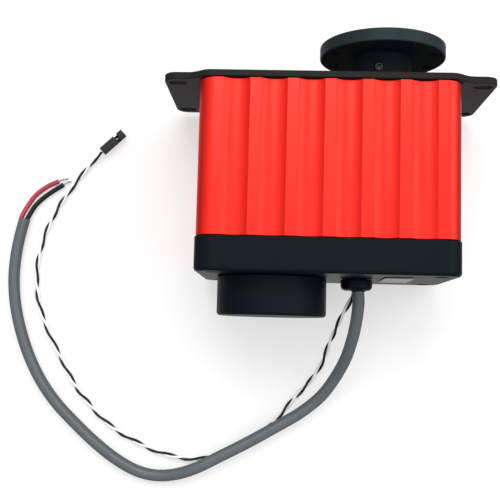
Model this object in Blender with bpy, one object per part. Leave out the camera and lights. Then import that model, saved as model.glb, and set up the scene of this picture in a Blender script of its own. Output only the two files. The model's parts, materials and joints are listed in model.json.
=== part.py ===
"""Large 12 V servo actuator: ribbed aluminium body, output disc on an offset shaft, motor, gears and leads.

The actuator lies on its back. +Y runs from the motor's end to the output disc, +Z up out of the ribbed front,
and +X to the side that holds the output shaft. The origin is under the middle of the body, on the surface it
lies on. Sizes below are in millimetres; MM turns them into metres.
"""

import math

import bmesh
import bpy
from mathutils import Vector

MM = 0.001
GAP = 0.3
STAGGER = 0.37

# The body, front to back along Z and end to end along Y.
DEPTH = 61.0
MID_Z = DEPTH / 2
MOTOR_CAP_END = -56.5
CAP_END = -40.55
HOUSING_BOTTOM = -26.7
HOUSING_TOP = 34.5
PLATE_BOTTOM = HOUSING_TOP + GAP
PLATE_TOP = 37.35
DISC_BOTTOM = 51.3
DISC_TOP = 56.5

# The ribbed housing.
HOUSING_WIDTH = 101.6
HOUSING_BACK = 0.4
HOUSING_FRONT = 60.6
HOUSING_CORNER = 6.5
WALL = 3.5
INNER_CHAMFER = 12.0
RIB_PITCH = 14.4
GROOVE_COUNT = 6
GROOVE_HALF_CHORD = 5.1
GROOVE_DEPTH = 1.7

# The mounting plate and its slotted ears.
PLATE_HALF_WIDTH = 65.2
PLATE_BODY_HALF_WIDTH = 46.5
EAR_START = 55.5
EAR_INSET = 4.4
EAR_CORNER = 5.2
SLOT_LENGTH = 6.8
SLOT_RADIUS = 2.3
SLOT_X = 60.0
SLOT_OFFSET_Z = 20.4
EAR_BOTTOM = PLATE_BOTTOM - 0.3

# The bearing and the carrier that holds it under the mounting plate.
CARRIER_RADIUS = 16.0
CARRIER_FLANGE_RADIUS = 18.0
CARRIER_FLANGE_BOTTOM = 31.8
CARRIER_BOTTOM = 28.1
CARRIER_LIP_RADIUS = 11.3
BEARING_SEAT_RADIUS = 13.3
BEARING_SEAT_BOTTOM = 29.3
BEARING_LOW = BEARING_SEAT_BOTTOM + GAP
BEARING_HIGH = 36.6
BEARING_OUTER_RING = (13.0, 11.2)
BEARING_INNER_RING_RADIUS = 8.2
BALL_CIRCLE = 9.7
BALL_RADIUS = 1.2
BALL_COUNT = 9
CAGE_HALF_WIDTH = 0.6
CAGE_HALF_HEIGHT = 0.7

# The bottom cap, its screws and what is fixed in it.
CAP_WIDTH = 102.6
CAP_TOP = HOUSING_BOTTOM - GAP
CAP_CORNER = 7.5
CAP_FLOOR = -37.5
CAP_WALL = 4.0
COLLAR_RADIUS = 19.2
COLLAR_END = -44.8
MOTOR_CAP_RADIUS = 22.3
COLLAR_BORE = 18.5
MOTOR_CAP_INNER_RADIUS = 19.5
MOTOR_CAP_FLOOR = MOTOR_CAP_END + 2.2
MOTOR_CAP_EDGE = ((1.2, 0.0), (0.35, 0.35), (0.0, 1.2))
LABEL_X = (23.0, 34.5)
LABEL_Z = (22.0, 47.5)
LABEL_THICKNESS = 0.2

# Screws. Each head is (radius, how far its face is below the surface, how far its underside is).
SCREW_X = 43.8
SCREW_OFFSET_Z = 23.3
SCREW_RADIUS = 1.5
SCREW_HOLE_RADIUS = 1.8
SOCKET_RADIUS = 1.1
SOCKET_DEPTH = 1.0
PLATE_SCREW_HEAD = (2.6, 0.1, 1.2)
PLATE_SCREW_TIP = 18.0
PLATE_RECESS = (2.9, 1.4)
CAP_SCREW_HEAD = (2.3, 0.5, 2.9)
CAP_SCREW_TIP = -17.0
CAP_RECESS = (2.6, 3.2)
MOTOR_SCREW_HEAD = (2.8, 0.1, 1.5)
MOTOR_SCREW_TIP = 0.6
MOTOR_RECESS = (3.1, 1.8)

# Axes, as (x, z) in the plane across Y.
OUTPUT_AXIS = (22.8, MID_Z)
MOTOR_AXIS = (-21.2, MID_Z)
GLAND_AXIS = (13.3, MID_Z)

# The gear train: involute teeth, in four stages at four levels.
PRESSURE_ANGLE = math.radians(25)
ADDENDUM = 0.9
DEDENDUM = 1.2
TOOTH_THINNING = 0.09
PINION_TEETH = 12
FINE_MODULE = 0.8
COARSE_MODULE = 1.0
FIRST_WHEEL_TEETH = 40
SECOND_WHEEL_TEETH = 38
THIRD_WHEEL_TEETH = 28
OUTPUT_TEETH = 40
LEVELS = ((8.0, 11.5), (12.0, 16.0), (16.5, 21.0), (21.5, 27.5))
WHEEL_OVERLAP = 1.0
GEAR_PLATE = (3.5, 7.0)
GEAR_PLATE_MOTOR_HOLE = 6.6
GEAR_PLATE_BUSH_HOLE = 10.0
GEAR_POST_PLACE = (40.0, 17.0)
GEAR_POST_RADIUS = 2.5
IDLER_STEP_ANGLE = math.radians(-130)
AXLE_RADIUS = 1.5
BUSH_RADIUS = 9.7

# Round running parts.
OUTPUT_SHAFT_RADIUS = 6.3
OUTPUT_BORE_RADIUS = OUTPUT_SHAFT_RADIUS + GAP
DISC_RADIUS = 26.0
HUB_RADIUS = 12.0
HUB_BOTTOM = 41.0
DISC_HOLE_COUNT = 8
DISC_HOLE_CIRCLE = 21.4
DISC_HOLE_RADIUS = 2.0
DISC_EDGE = 0.4
HUB_EDGE = 0.5
SHAFT_END = DISC_TOP - 0.4
SHAFT_EDGE = 0.6
SET_SCREW_Y = 45.5
SET_SCREW_ANGLE = math.radians(103)
SET_SCREW_RADIUS = 1.7
SET_SCREW_HOLE_RADIUS = 2.0
COLLAR_RING_RADIUS = 9.0
COLLAR_RING = (37.6, 38.7)
FEEDBACK_SHAFT_RADIUS = 3.0
FEEDBACK_SHAFT_BOTTOM = -4.6
FEEDBACK_RADIUS = 8.5
FEEDBACK_Y = (-9.0, 2.9)
FEEDBACK_SOCKET_BOTTOM = -5.0

# The motor.
MOTOR_RADIUS = 17.5
MOTOR_INNER_RADIUS = 16.2
MOTOR_FRONT = 3.2
MOTOR_REAR = -46.0
MOTOR_EDGE = 0.6
MOTOR_NOSE_HOLE = 3.0
MOTOR_NOSE_THICKNESS = 1.5
MOTOR_SHAFT_RADIUS = 1.6
MOTOR_SHAFT_REAR = -51.5
MOTOR_SCREW_X = 12.5
BELL_RADIUS = 17.0
BELL_Y = (-50.0, -46.3)
BELL_HUB_RADIUS = 5.0
BELL_HUB_END = -52.0
BRUSH_X = (4.5, 9.7)
BRUSH_Y = (-43.0, -39.8)
BRUSH_HALF_WIDTH = 1.6
HOLDER_X = (10.0, 12.4)
HOLDER_Y = (-47.0, -39.5)
HOLDER_HALF_WIDTH = 3.0
MAGNET_RADII = (15.9, 13.4)
MAGNET_Y = (-37.5, -3.0)
MAGNET_HALF_ANGLE = 62
ROTOR_ARMS = 5
ROTOR_RADIUS = 12.9
ROTOR_ARM_ROOT = (6.5, 9)
ROTOR_ARM_TIP = (11.0, 5)
ROTOR_SHOE_GAP = 4
ROTOR_Y = (-36.0, -5.0)
COMMUTATOR_RADIUS = 4.1
COMMUTATOR_Y = (-43.8, -38.6)

# The controller board, over its posts in the cap.
BOARD_X = (2.0, 42.0)
BOARD_Z = (13.0, 48.0)
BOARD_Y = (-24.0, -22.4)
BOARD_POSTS = ((6.0, 17.0), (6.0, 44.0), (38.0, 17.0), (38.0, 44.0))
BOARD_POST_RADIUS = 2.2
TRANSISTOR_STARTS = (14.0, 30.0)
TRANSISTOR_SIZE = (10.2, 9.0)
TRANSISTOR_Z = (42.5, 47.0)
CAPACITOR_PLACE = (34.0, 22.0)
CAPACITOR_RADIUS = 5.0
CAPACITOR_HEIGHT = 12.0

# The cable gland.
GLAND_HEAD = CAP_END - GAP
GLAND_RADIUS = 6.5
GLAND_LENGTH = 4.4
GLAND_EDGE = ((4.6, 4.4), (5.8, 3.9), (6.5, 2.7))
GLAND_THREAD_RADIUS = 4.3
GLAND_HOLE_RADIUS = 4.6
GLAND_INNER_END = CAP_FLOOR + 4.0
GLAND_NUT_RADIUS = 7.4
GLAND_NUT_TOP = CAP_FLOOR + 3.2

# The leads. Routes are points along each lead's middle, from the body outwards.
JACKET_RADIUS = 2.5
LEAD_RADIUS = 1.2
STRAND_RADIUS = 0.4
PAIR_RADIUS = 1.3
JACKET_ROUTE = (
    (14.1, -46.2, 30.5),
    (14.3, -50.0, 30.2),
    (14.0, -55.0, 28.9),
    (13.4, -60.0, 26.6),
    (12.5, -65.0, 23.8),
    (10.3, -73.3, 17.6),
    (6.2, -82.0, 10.6),
    (0.4, -90.2, 6.4),
    (-8.3, -97.4, 5.6),
    (-19.2, -104.0, 5.6),
    (-31.0, -110.8, 5.6),
    (-41.8, -116.5, 5.6),
    (-51.6, -121.6, 5.4),
    (-60.4, -124.8, 4.2),
    (-69.4, -125.9, 3.0),
    (-78.3, -124.2, 2.6),
    (-87.4, -119.6, 2.6),
    (-96.6, -113.0, 2.6),
    (-105.9, -104.9, 2.6),
    (-114.8, -96.2, 2.6),
    (-121.9, -87.0, 2.6),
    (-127.4, -77.1, 2.6),
    (-131.5, -67.0, 2.6),
    (-134.4, -57.1, 2.6),
    (-136.0, -48.0, 2.6),
    (-136.5, -39.1, 2.6),
    (-135.9, -30.0, 2.6),
    (-134.6, -22.0, 2.6),
    (-133.1, -15.4, 2.6),
)
RED_ROUTE = (
    (-134.5, -14.2, 2.5),
    (-132.4, -9.5, 1.8),
    (-129.0, -4.2, 1.3),
    (-124.0, -0.1, 1.3),
    (-118.9, 2.4, 1.3),
)
BLACK_ROUTE = (
    (-131.8, -14.9, 2.5),
    (-128.9, -9.2, 1.8),
    (-125.3, -5.2, 1.3),
    (-120.9, -1.9, 1.3),
    (-116.6, 0.9, 1.3),
)
RED_STRAND_ROUTE = (
    (-118.6, 2.6, 1.3),
    (-116.6, 3.4, 1.1),
    (-114.4, 3.8, 0.8),
)
BLACK_STRAND_ROUTE = (
    (-116.3, 1.1, 1.3),
    (-114.9, 2.0, 1.1),
    (-113.0, 2.7, 0.8),
)
PAIR_ROUTE = (
    (12.4, -46.1, 26.7),
    (11.5, -48.8, 26.4),
    (9.8, -52.2, 25.4),
    (7.9, -55.8, 23.2),
    (5.8, -61.4, 18.3),
    (3.4, -67.8, 12.2),
    (0.9, -76.0, 5.6),
    (-4.6, -84.6, 1.9),
    (-11.0, -91.8, 1.4),
    (-16.5, -98.7, 1.4),
    (-21.6, -104.0, 1.4),
    (-26.5, -108.3, 1.4),
    (-32.8, -112.4, 1.4),
    (-39.5, -115.8, 1.4),
    (-46.5, -117.8, 1.4),
    (-54.0, -118.6, 1.4),
    (-62.0, -117.8, 1.4),
    (-69.9, -115.8, 1.4),
    (-77.5, -112.8, 1.4),
    (-85.0, -109.0, 1.4),
    (-91.5, -104.8, 1.4),
    (-97.2, -99.8, 1.4),
    (-102.0, -94.6, 1.4),
    (-106.8, -88.8, 1.4),
    (-110.8, -82.2, 1.4),
    (-114.9, -75.0, 1.4),
    (-119.2, -66.9, 1.4),
    (-122.8, -59.1, 1.4),
    (-125.4, -50.9, 1.4),
    (-126.5, -42.4, 1.4),
    (-126.4, -34.2, 1.4),
    (-124.8, -25.6, 1.4),
    (-122.2, -17.6, 1.4),
    (-119.0, -10.6, 1.4),
    (-115.2, -4.2, 1.4),
    (-110.7, 2.2, 1.4),
    (-106.6, 7.9, 1.6),
    (-102.9, 12.4, 2.1),
    (-99.55, 15.95, 2.5),
)
PLUG_TURN = math.radians(43.5)
PLUG_START = (-99.2, 16.3)
PLUG_LENGTH = 12.7
PLUG_WIDTH = 2.6
PLUG_HEIGHT = 5.2

# Finishes, as (colour, roughness, metallic).
RED_ANODISED = ((0.78, 0.03, 0.015), 0.38, 0.6)
BLACK_ANODISED = ((0.018, 0.021, 0.022), 0.42, 0.5)
BLACK_PLASTIC = ((0.012, 0.014, 0.015), 0.5, 0.0)
BARE_STEEL = ((0.56, 0.56, 0.58), 0.3, 1.0)
BLACK_STEEL = ((0.04, 0.04, 0.043), 0.4, 0.8)
BRASS = ((0.72, 0.52, 0.22), 0.35, 1.0)
BRONZE = ((0.5, 0.32, 0.17), 0.45, 1.0)
BARE_ALUMINIUM = ((0.7, 0.71, 0.73), 0.4, 1.0)
FERRITE = ((0.05, 0.05, 0.055), 0.7, 0.2)
COPPER = ((0.66, 0.3, 0.16), 0.35, 1.0)
CARBON = ((0.02, 0.02, 0.02), 0.7, 0.1)
BOARD_GREEN = ((0.02, 0.16, 0.06), 0.45, 0.0)
PALE_LABEL = ((0.62, 0.64, 0.62), 0.5, 0.0)
GREY_JACKET = ((0.13, 0.15, 0.16), 0.5, 0.0)
RED_LEAD = ((0.5, 0.02, 0.04), 0.45, 0.0)
TINNED_WIRE = ((0.6, 0.6, 0.58), 0.35, 1.0)


def clear_scene():
    """Remove every object the file opened with."""
    for obj in list(bpy.data.objects):
        bpy.data.objects.remove(obj, do_unlink=True)


# --- building blocks ---


def finish(obj, look):
    """Give an object a material of its own."""
    colour, roughness, metallic = look
    material = bpy.data.materials.new(obj.name + "_finish")
    material.use_nodes = True
    shader = material.node_tree.nodes["Principled BSDF"]
    shader.inputs["Base Color"].default_value = (*colour, 1.0)
    shader.inputs["Roughness"].default_value = roughness
    shader.inputs["Metallic"].default_value = metallic
    obj.data.materials.append(material)


def new_object(name, shape, look, axis=(0.0, 0.0), parent=None, smooth_angle=30):
    """Turn a bmesh in millimetres, drawn around an axis at (x, z), into an object."""
    bmesh.ops.recalc_face_normals(shape, faces=shape.faces)
    bmesh.ops.scale(shape, vec=(MM, MM, MM), verts=shape.verts)
    mesh = bpy.data.meshes.new(name)
    shape.to_mesh(mesh)
    shape.free()
    mesh.shade_smooth()
    mesh.set_sharp_from_angle(angle=math.radians(smooth_angle))
    obj = bpy.data.objects.new(name, mesh)
    bpy.context.scene.collection.objects.link(obj)
    place = Vector((axis[0] * MM, 0.0, axis[1] * MM))
    if parent:
        obj.parent = parent
        place = place - parent.location
    obj.location = place
    if look:
        finish(obj, look)
    return obj


def joint_axis(name, axis):
    """Add an empty on a turning axis, for the pieces that turn on it."""
    empty = bpy.data.objects.new(name, None)
    empty.location = (axis[0] * MM, 0.0, axis[1] * MM)
    bpy.context.scene.collection.objects.link(empty)
    return empty


def prism(outline, low, high):
    """Extrude an outline of (x, z) points along Y from low to high."""
    shape = bmesh.new()
    near = [shape.verts.new((x, low, z)) for x, z in outline]
    base = shape.faces.new(near)
    grown = bmesh.ops.extrude_face_region(shape, geom=[base])
    moved = [item for item in grown["geom"] if isinstance(item, bmesh.types.BMVert)]
    bmesh.ops.translate(shape, verts=moved, vec=(0.0, high - low, 0.0))
    return shape


def turned(profile, segments, stagger=0.0):
    """Spin a closed profile of (radius, y) points around Y, started a part of a segment further round."""
    shape = bmesh.new()
    rings = []
    for radius, y in profile:
        if radius == 0:
            rings.append([shape.verts.new((0.0, y, 0.0))])
            continue
        turns = [math.tau * (step + stagger) / segments for step in range(segments)]
        rings.append([shape.verts.new((radius * math.cos(t), y, radius * math.sin(t))) for t in turns])
    for first, second in zip(rings, rings[1:] + rings[:1]):
        join_rings(shape, first, second, segments)
    return shape


def join_rings(shape, first, second, segments):
    """Fill between two rings, either of which may be a single point on the axis."""
    if len(first) == 1 and len(second) == 1:
        return
    for step in range(segments):
        following = (step + 1) % segments
        if len(first) == 1:
            shape.faces.new((first[0], second[step], second[following]))
        elif len(second) == 1:
            shape.faces.new((first[step], second[0], first[following]))
        else:
            shape.faces.new((first[step], second[step], second[following], first[following]))


def disc(radius, low, high, segments):
    """A plain round bar along Y."""
    return turned([(0, low), (radius, low), (radius, high), (0, high)], segments)


def drill(radius, low, high, segments):
    """A round bar to cut or join with, its corners out of line with those of other round pieces."""
    return turned([(0, low), (radius, low), (radius, high), (0, high)], segments, STAGGER)


def tube(outer, inner, low, high, segments):
    """A plain ring along Y."""
    return turned([(inner, low), (outer, low), (outer, high), (inner, high)], segments)


def block(x_range, y_range, z_range):
    """A rectangular block between the given limits."""
    left, right = x_range
    back, front = z_range
    return prism([(left, back), (right, back), (right, front), (left, front)], *y_range)


def combine(obj, shapes, operation):
    """Cut shapes from an object, or join them to it. Each shape is (bmesh, axis)."""
    for shape, axis in shapes:
        tool = new_object("tool", shape, None, axis)
        modifier = obj.modifiers.new("combine", "BOOLEAN")
        modifier.operation = operation
        modifier.solver = "EXACT"
        modifier.object = tool
        graph = bpy.context.evaluated_depsgraph_get()
        result = bpy.data.meshes.new_from_object(obj.evaluated_get(graph))
        obj.modifiers.remove(modifier)
        old = obj.data
        obj.data = result
        result.name = obj.name
        bpy.data.meshes.remove(old)
        bpy.data.objects.remove(tool, do_unlink=True)
    return obj


def cut(obj, *shapes):
    """Cut shapes from an object."""
    return combine(obj, shapes, "DIFFERENCE")


def join(obj, *shapes):
    """Join shapes to an object."""
    return combine(obj, shapes, "UNION")


def arc(centre, radius, start, end, steps):
    """Points on an arc, with angles in degrees."""
    turns = [math.radians(start + (end - start) * step / steps) for step in range(steps + 1)]
    return [(centre[0] + radius * math.cos(t), centre[1] + radius * math.sin(t)) for t in turns]


def rounded_rectangle(half_width, low, high, corner, steps=6):
    """Outline of a rectangle with round corners, centred in x."""
    x = half_width - corner
    points = arc((x, high - corner), corner, 90, 0, steps)
    points += arc((x, low + corner), corner, 0, -90, steps)
    points += arc((-x, low + corner), corner, -90, -180, steps)
    points += arc((-x, high - corner), corner, 180, 90, steps)
    return points


def chamfered_rectangle(half_width, low, high, chamfer):
    """Outline of a rectangle with cut corners, centred in x."""
    inner = half_width - chamfer
    right = [(inner, high), (half_width, high - chamfer), (half_width, low + chamfer), (inner, low)]
    return right + [(-x, z) for x, z in reversed(right)]


def four_corners(x, offset_z):
    """The four (x, z) places of a pattern that is symmetrical about the body."""
    return [(sx * x, MID_Z + sz * offset_z) for sx in (-1, 1) for sz in (-1, 1)]


def stadium(centre, length, radius, steps=4):
    """Outline of a slot with round ends, long in x."""
    reach = length / 2 - radius
    points = arc((centre[0] + reach, centre[1]), radius, 90, -90, steps)
    return points + arc((centre[0] - reach, centre[1]), radius, -90, -270, steps)


# --- the case ---


def groove(centre_x, face_z, side):
    """One scallop across the housing's face, from its left edge to its right."""
    radius = (GROOVE_HALF_CHORD**2 + GROOVE_DEPTH**2) / (2 * GROOVE_DEPTH)
    reach = math.asin(GROOVE_HALF_CHORD / radius)
    steps = 8
    points = []
    for step in range(steps + 1):
        turn = reach * (2 * step / steps - 1)
        depth = GROOVE_DEPTH - radius * (1 - math.cos(turn))
        points.append((centre_x + radius * math.sin(turn), face_z - side * depth))
    return points


def ribbed_outline():
    """Outline of the ribbed housing, with scallops in its front and back."""
    half = HOUSING_WIDTH / 2
    corner = HOUSING_CORNER
    centres = [RIB_PITCH * (index - (GROOVE_COUNT - 1) / 2) for index in range(GROOVE_COUNT)]
    points = []
    for x in centres:
        points += groove(x, HOUSING_FRONT, 1)
    points += arc((half - corner, HOUSING_FRONT - corner), corner, 90, 0, 6)
    points += arc((half - corner, HOUSING_BACK + corner), corner, 0, -90, 6)
    for x in reversed(centres):
        points += reversed(groove(x, HOUSING_BACK, -1))
    points += arc((corner - half, HOUSING_BACK + corner), corner, -90, -180, 6)
    points += arc((corner - half, HOUSING_FRONT - corner), corner, 180, 90, 6)
    return points


def inside_outline():
    """Outline of the housing's bore, with a solid corner for each screw."""
    half = HOUSING_WIDTH / 2 - WALL
    return chamfered_rectangle(half, HOUSING_BACK + WALL, HOUSING_FRONT - WALL, INNER_CHAMFER)


def make_housing():
    """The extruded, ribbed sleeve."""
    housing = new_object("ribbed_housing", prism(ribbed_outline(), HOUSING_BOTTOM, HOUSING_TOP), RED_ANODISED)
    cut(housing, (prism(inside_outline(), HOUSING_BOTTOM - 1, HOUSING_TOP + 1), (0, 0)))
    for place in four_corners(SCREW_X, SCREW_OFFSET_Z):
        cut(housing, (drill(SCREW_HOLE_RADIUS, HOUSING_BOTTOM - 1, HOUSING_TOP + 1, 12), place))


def ear_shoulder(steps=6):
    """The S-shaped step from the plate's front edge down to an ear, at +X."""
    points = []
    for step in range(steps + 1):
        part = step / steps
        x = PLATE_BODY_HALF_WIDTH + (EAR_START - PLATE_BODY_HALF_WIDTH) * part
        points.append((x, DEPTH - EAR_INSET * (1 - math.cos(math.pi * part)) / 2))
    return points


def plate_outline():
    """Outline of the mounting plate and its ears."""
    corner = (PLATE_HALF_WIDTH - EAR_CORNER, DEPTH - EAR_INSET - EAR_CORNER)
    front = ear_shoulder() + arc(corner, EAR_CORNER, 90, 0, 5)
    right = front + [(x, DEPTH - z) for x, z in reversed(front)]
    return right + [(-x, z) for x, z in reversed(right)]


def make_plate():
    """The top plate: slotted ears, a shallow seat for the housing, the carrier's hole and sunk screws."""
    plate = new_object("mounting_plate", prism(plate_outline(), EAR_BOTTOM, PLATE_TOP), BLACK_ANODISED)
    seat = HOUSING_WIDTH / 2 + GAP
    cut(plate, (block((-seat, seat), (EAR_BOTTOM - 1, PLATE_BOTTOM), (-1.0, DEPTH + 1)), (0, 0)))
    cut(plate, (drill(CARRIER_RADIUS + GAP, EAR_BOTTOM - 1, PLATE_TOP + 1, 32), OUTPUT_AXIS))
    for place in four_corners(SLOT_X, SLOT_OFFSET_Z):
        cut(plate, (prism(stadium(place, SLOT_LENGTH, SLOT_RADIUS), EAR_BOTTOM - 1, PLATE_TOP + 1), (0, 0)))
    recess_radius, recess_depth = PLATE_RECESS
    for index, place in enumerate(four_corners(SCREW_X, SCREW_OFFSET_Z), 1):
        cut(plate, (drill(SCREW_HOLE_RADIUS, PLATE_BOTTOM - 1, PLATE_TOP + 1, 10), place))
        cut(plate, (drill(recess_radius, PLATE_TOP - recess_depth, PLATE_TOP + 1, 12), place))
        make_screw(f"plate_screw_{index}", place, PLATE_SCREW_HEAD, PLATE_TOP, PLATE_SCREW_TIP, BARE_STEEL)


def make_screw(name, axis, head, surface, tip, look):
    """A socket screw sunk under a surface, its thread running to tip."""
    head_radius, face_depth, underside_depth = head
    direction = 1 if surface > tip else -1
    outer = surface - direction * face_depth
    inner = surface - direction * underside_depth
    socket = outer - direction * SOCKET_DEPTH
    profile = [
        (0, socket),
        (SOCKET_RADIUS, socket),
        (SOCKET_RADIUS, outer),
        (head_radius, outer),
        (head_radius, inner),
        (SCREW_RADIUS, inner),
        (SCREW_RADIUS, tip),
        (0, tip),
    ]
    return new_object(name, turned(profile, 12), look, axis)


def make_bottom_cap():
    """The end cap: pocket, motor collar, board posts, gland hole and screw recesses."""
    outline = rounded_rectangle(CAP_WIDTH / 2, 0.0, DEPTH, CAP_CORNER)
    cap = new_object("bottom_cap", prism(outline, CAP_END, CAP_TOP), BLACK_ANODISED)
    pocket = chamfered_rectangle(CAP_WIDTH / 2 - CAP_WALL, CAP_WALL, DEPTH - CAP_WALL, INNER_CHAMFER)
    cut(cap, (prism(pocket, CAP_FLOOR, CAP_TOP + 1), (0, 0)))
    cut(cap, (drill(COLLAR_BORE, CAP_END - 1, CAP_FLOOR + 1, 28), MOTOR_AXIS))
    join(cap, (tube(COLLAR_RADIUS, MOTOR_RADIUS + GAP, COLLAR_END, CAP_FLOOR - 0.5, 28), MOTOR_AXIS))
    for place in BOARD_POSTS:
        join(cap, (drill(BOARD_POST_RADIUS, CAP_FLOOR - 1, BOARD_Y[0] - GAP, 10), place))
    cut(cap, (drill(GLAND_HOLE_RADIUS, CAP_END - 1, CAP_FLOOR + 1, 20), GLAND_AXIS))
    recess_radius, recess_depth = CAP_RECESS
    for index, place in enumerate(four_corners(SCREW_X, SCREW_OFFSET_Z), 1):
        cut(cap, (drill(SCREW_HOLE_RADIUS, CAP_END - 1, CAP_TOP + 1, 12), place))
        cut(cap, (drill(recess_radius, CAP_END - 1, CAP_END + recess_depth, 12), place))
        make_screw(f"cap_screw_{index}", place, CAP_SCREW_HEAD, CAP_END, CAP_SCREW_TIP, BLACK_STEEL)


def make_motor_cap():
    """The round cover over the motor's end."""
    edge = [(MOTOR_CAP_RADIUS - inset, MOTOR_CAP_END + rise) for inset, rise in MOTOR_CAP_EDGE]
    profile = [
        (0, MOTOR_CAP_END),
        *edge,
        (MOTOR_CAP_RADIUS, CAP_END - GAP),
        (MOTOR_CAP_INNER_RADIUS, CAP_END - GAP),
        (MOTOR_CAP_INNER_RADIUS, MOTOR_CAP_FLOOR),
        (0, MOTOR_CAP_FLOOR),
    ]
    new_object("motor_cap", turned(profile, 40), BLACK_PLASTIC, MOTOR_AXIS)


def make_end_label():
    """A blank label on the cap's end face, beside the gland."""
    surface = CAP_END - GAP
    label = block(LABEL_X, (surface - LABEL_THICKNESS, surface), LABEL_Z)
    new_object("end_label", label, PALE_LABEL)


# --- gears ---


def gear_outline(teeth, module, phase):
    """Outline of an involute gear with the middle of one tooth at the angle phase."""
    pitch_radius = module * teeth / 2
    base = pitch_radius * math.cos(PRESSURE_ANGLE)
    root = pitch_radius - DEDENDUM * module
    tip = pitch_radius + ADDENDUM * module
    half_tooth = math.pi / (2 * teeth) - TOOTH_THINNING / (2 * pitch_radius)
    start = max(base, root)
    flank = [start, (start + tip) / 2, tip] if root < base else [start, tip]
    offsets = [half_tooth + involute(PRESSURE_ANGLE) - involute(math.acos(base / radius)) for radius in flank]
    points = []
    for tooth in range(teeth):
        centre = phase + math.tau * tooth / teeth
        rising = [(radius, centre - offset) for radius, offset in zip(flank, offsets)]
        falling = [(radius, centre + offset) for radius, offset in zip(reversed(flank), reversed(offsets))]
        foot = [(root, centre - offsets[0])] if root < base else []
        heel = [(root, centre + offsets[0])] if root < base else []
        points += foot + rising + falling + heel
    return [(radius * math.cos(turn), radius * math.sin(turn)) for radius, turn in points]


def involute(angle):
    """The involute function."""
    return math.tan(angle) - angle


def angle_between(start, end):
    """Direction from one (x, z) place to another."""
    return math.atan2(end[1] - start[1], end[0] - start[0])


def centre_distance(module, wheel_teeth):
    """Distance between a pinion's axis and its wheel's."""
    return module * (PINION_TEETH + wheel_teeth) / 2


def idler_places():
    """The two idler axles. The first also carries the third wheel, above the first wheel."""
    near = centre_distance(FINE_MODULE, FIRST_WHEEL_TEETH)
    far = centre_distance(COARSE_MODULE, OUTPUT_TEETH)
    span = OUTPUT_AXIS[0] - MOTOR_AXIS[0]
    along = (near**2 - far**2 + span**2) / (2 * span)
    above = math.sqrt(near**2 - along**2)
    first = (MOTOR_AXIS[0] + along, MID_Z + above)
    step = centre_distance(FINE_MODULE, SECOND_WHEEL_TEETH)
    second = (first[0] + step * math.cos(IDLER_STEP_ANGLE), first[1] + step * math.sin(IDLER_STEP_ANGLE))
    return first, second


def driven_wheel(teeth, module, place, driver):
    """Outline of a wheel with a gap between teeth facing the pinion that drives it."""
    return gear_outline(teeth, module, angle_between(place, driver) + math.pi / teeth)


def pinion(module, place, partner):
    """Outline of a pinion with a tooth facing the wheel it drives."""
    return gear_outline(PINION_TEETH, module, angle_between(place, partner))


def make_compound_gear(name, place, driver, partner, wheel, small_module, level, parent):
    """An idler: a wheel and a smaller pinion on one bored hub. Wheel is (teeth, module)."""
    low, high = LEVELS[level]
    _, next_high = LEVELS[level + 1]
    gear = new_object(name, prism(driven_wheel(*wheel, place, driver), low, high), BRASS, place, parent)
    join(gear, (prism(pinion(small_module, place, partner), high - WHEEL_OVERLAP, next_high), place))
    cut(gear, (drill(AXLE_RADIUS + GAP, low - 1, next_high + 1, 16), place))


def make_gear_train():
    """Motor pinion, three compound idlers on two axles, and the output gear."""
    first, second = idler_places()
    axis_1 = joint_axis("idler_1_axis", first)
    axis_2 = joint_axis("idler_2_axis", second)
    axis_3 = joint_axis("idler_3_axis", first)
    fine_1 = (FIRST_WHEEL_TEETH, FINE_MODULE)
    fine_2 = (SECOND_WHEEL_TEETH, FINE_MODULE)
    coarse = (THIRD_WHEEL_TEETH, COARSE_MODULE)
    make_compound_gear("idler_gear_1", first, MOTOR_AXIS, second, fine_1, FINE_MODULE, 0, axis_1)
    make_compound_gear("idler_gear_2", second, first, first, fine_2, COARSE_MODULE, 1, axis_2)
    make_compound_gear("idler_gear_3", first, second, OUTPUT_AXIS, coarse, COARSE_MODULE, 2, axis_3)
    low = GEAR_PLATE[0] + 0.1
    high = PLATE_BOTTOM - GAP
    for index, place in enumerate((first, second), 1):
        new_object(f"idler_axle_{index}", disc(AXLE_RADIUS, low, high, 16), BARE_STEEL, place)


def make_gear_plate():
    """The plate under the gears, its four spacer posts and the output bush."""
    half = HOUSING_WIDTH / 2 - WALL - 0.5
    outline = chamfered_rectangle(half, HOUSING_BACK + WALL + 0.5, HOUSING_FRONT - WALL - 0.5, INNER_CHAMFER)
    low, high = GEAR_PLATE
    plate = new_object("gear_plate", prism(outline, low, high), BARE_ALUMINIUM)
    cut(plate, (drill(GEAR_PLATE_MOTOR_HOLE, low - 1, high + 1, 24), MOTOR_AXIS))
    cut(plate, (drill(GEAR_PLATE_BUSH_HOLE, low - 1, high + 1, 32), OUTPUT_AXIS))
    for place in idler_places():
        cut(plate, (drill(AXLE_RADIUS + GAP, low - 1, high + 1, 16), place))
    recess_radius, recess_depth = MOTOR_RECESS
    for index, side in enumerate((-1, 1), 1):
        place = (MOTOR_AXIS[0] + side * MOTOR_SCREW_X, MID_Z)
        cut(plate, (drill(SCREW_HOLE_RADIUS, low - 1, high + 1, 12), place))
        cut(plate, (drill(recess_radius, high - recess_depth, high + 1, 16), place))
        make_screw(f"motor_screw_{index}", place, MOTOR_SCREW_HEAD, high, MOTOR_SCREW_TIP, BARE_STEEL)
    for index, place in enumerate(four_corners(*GEAR_POST_PLACE), 1):
        post = disc(GEAR_POST_RADIUS, high + GAP, PLATE_BOTTOM - GAP, 12)
        new_object(f"gear_post_{index}", post, BARE_ALUMINIUM, place)
    bush = tube(BUSH_RADIUS, OUTPUT_BORE_RADIUS, low - 0.2, high + 0.3, 28)
    new_object("output_bush", bush, BRONZE, OUTPUT_AXIS)


# --- output shaft ---


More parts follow.
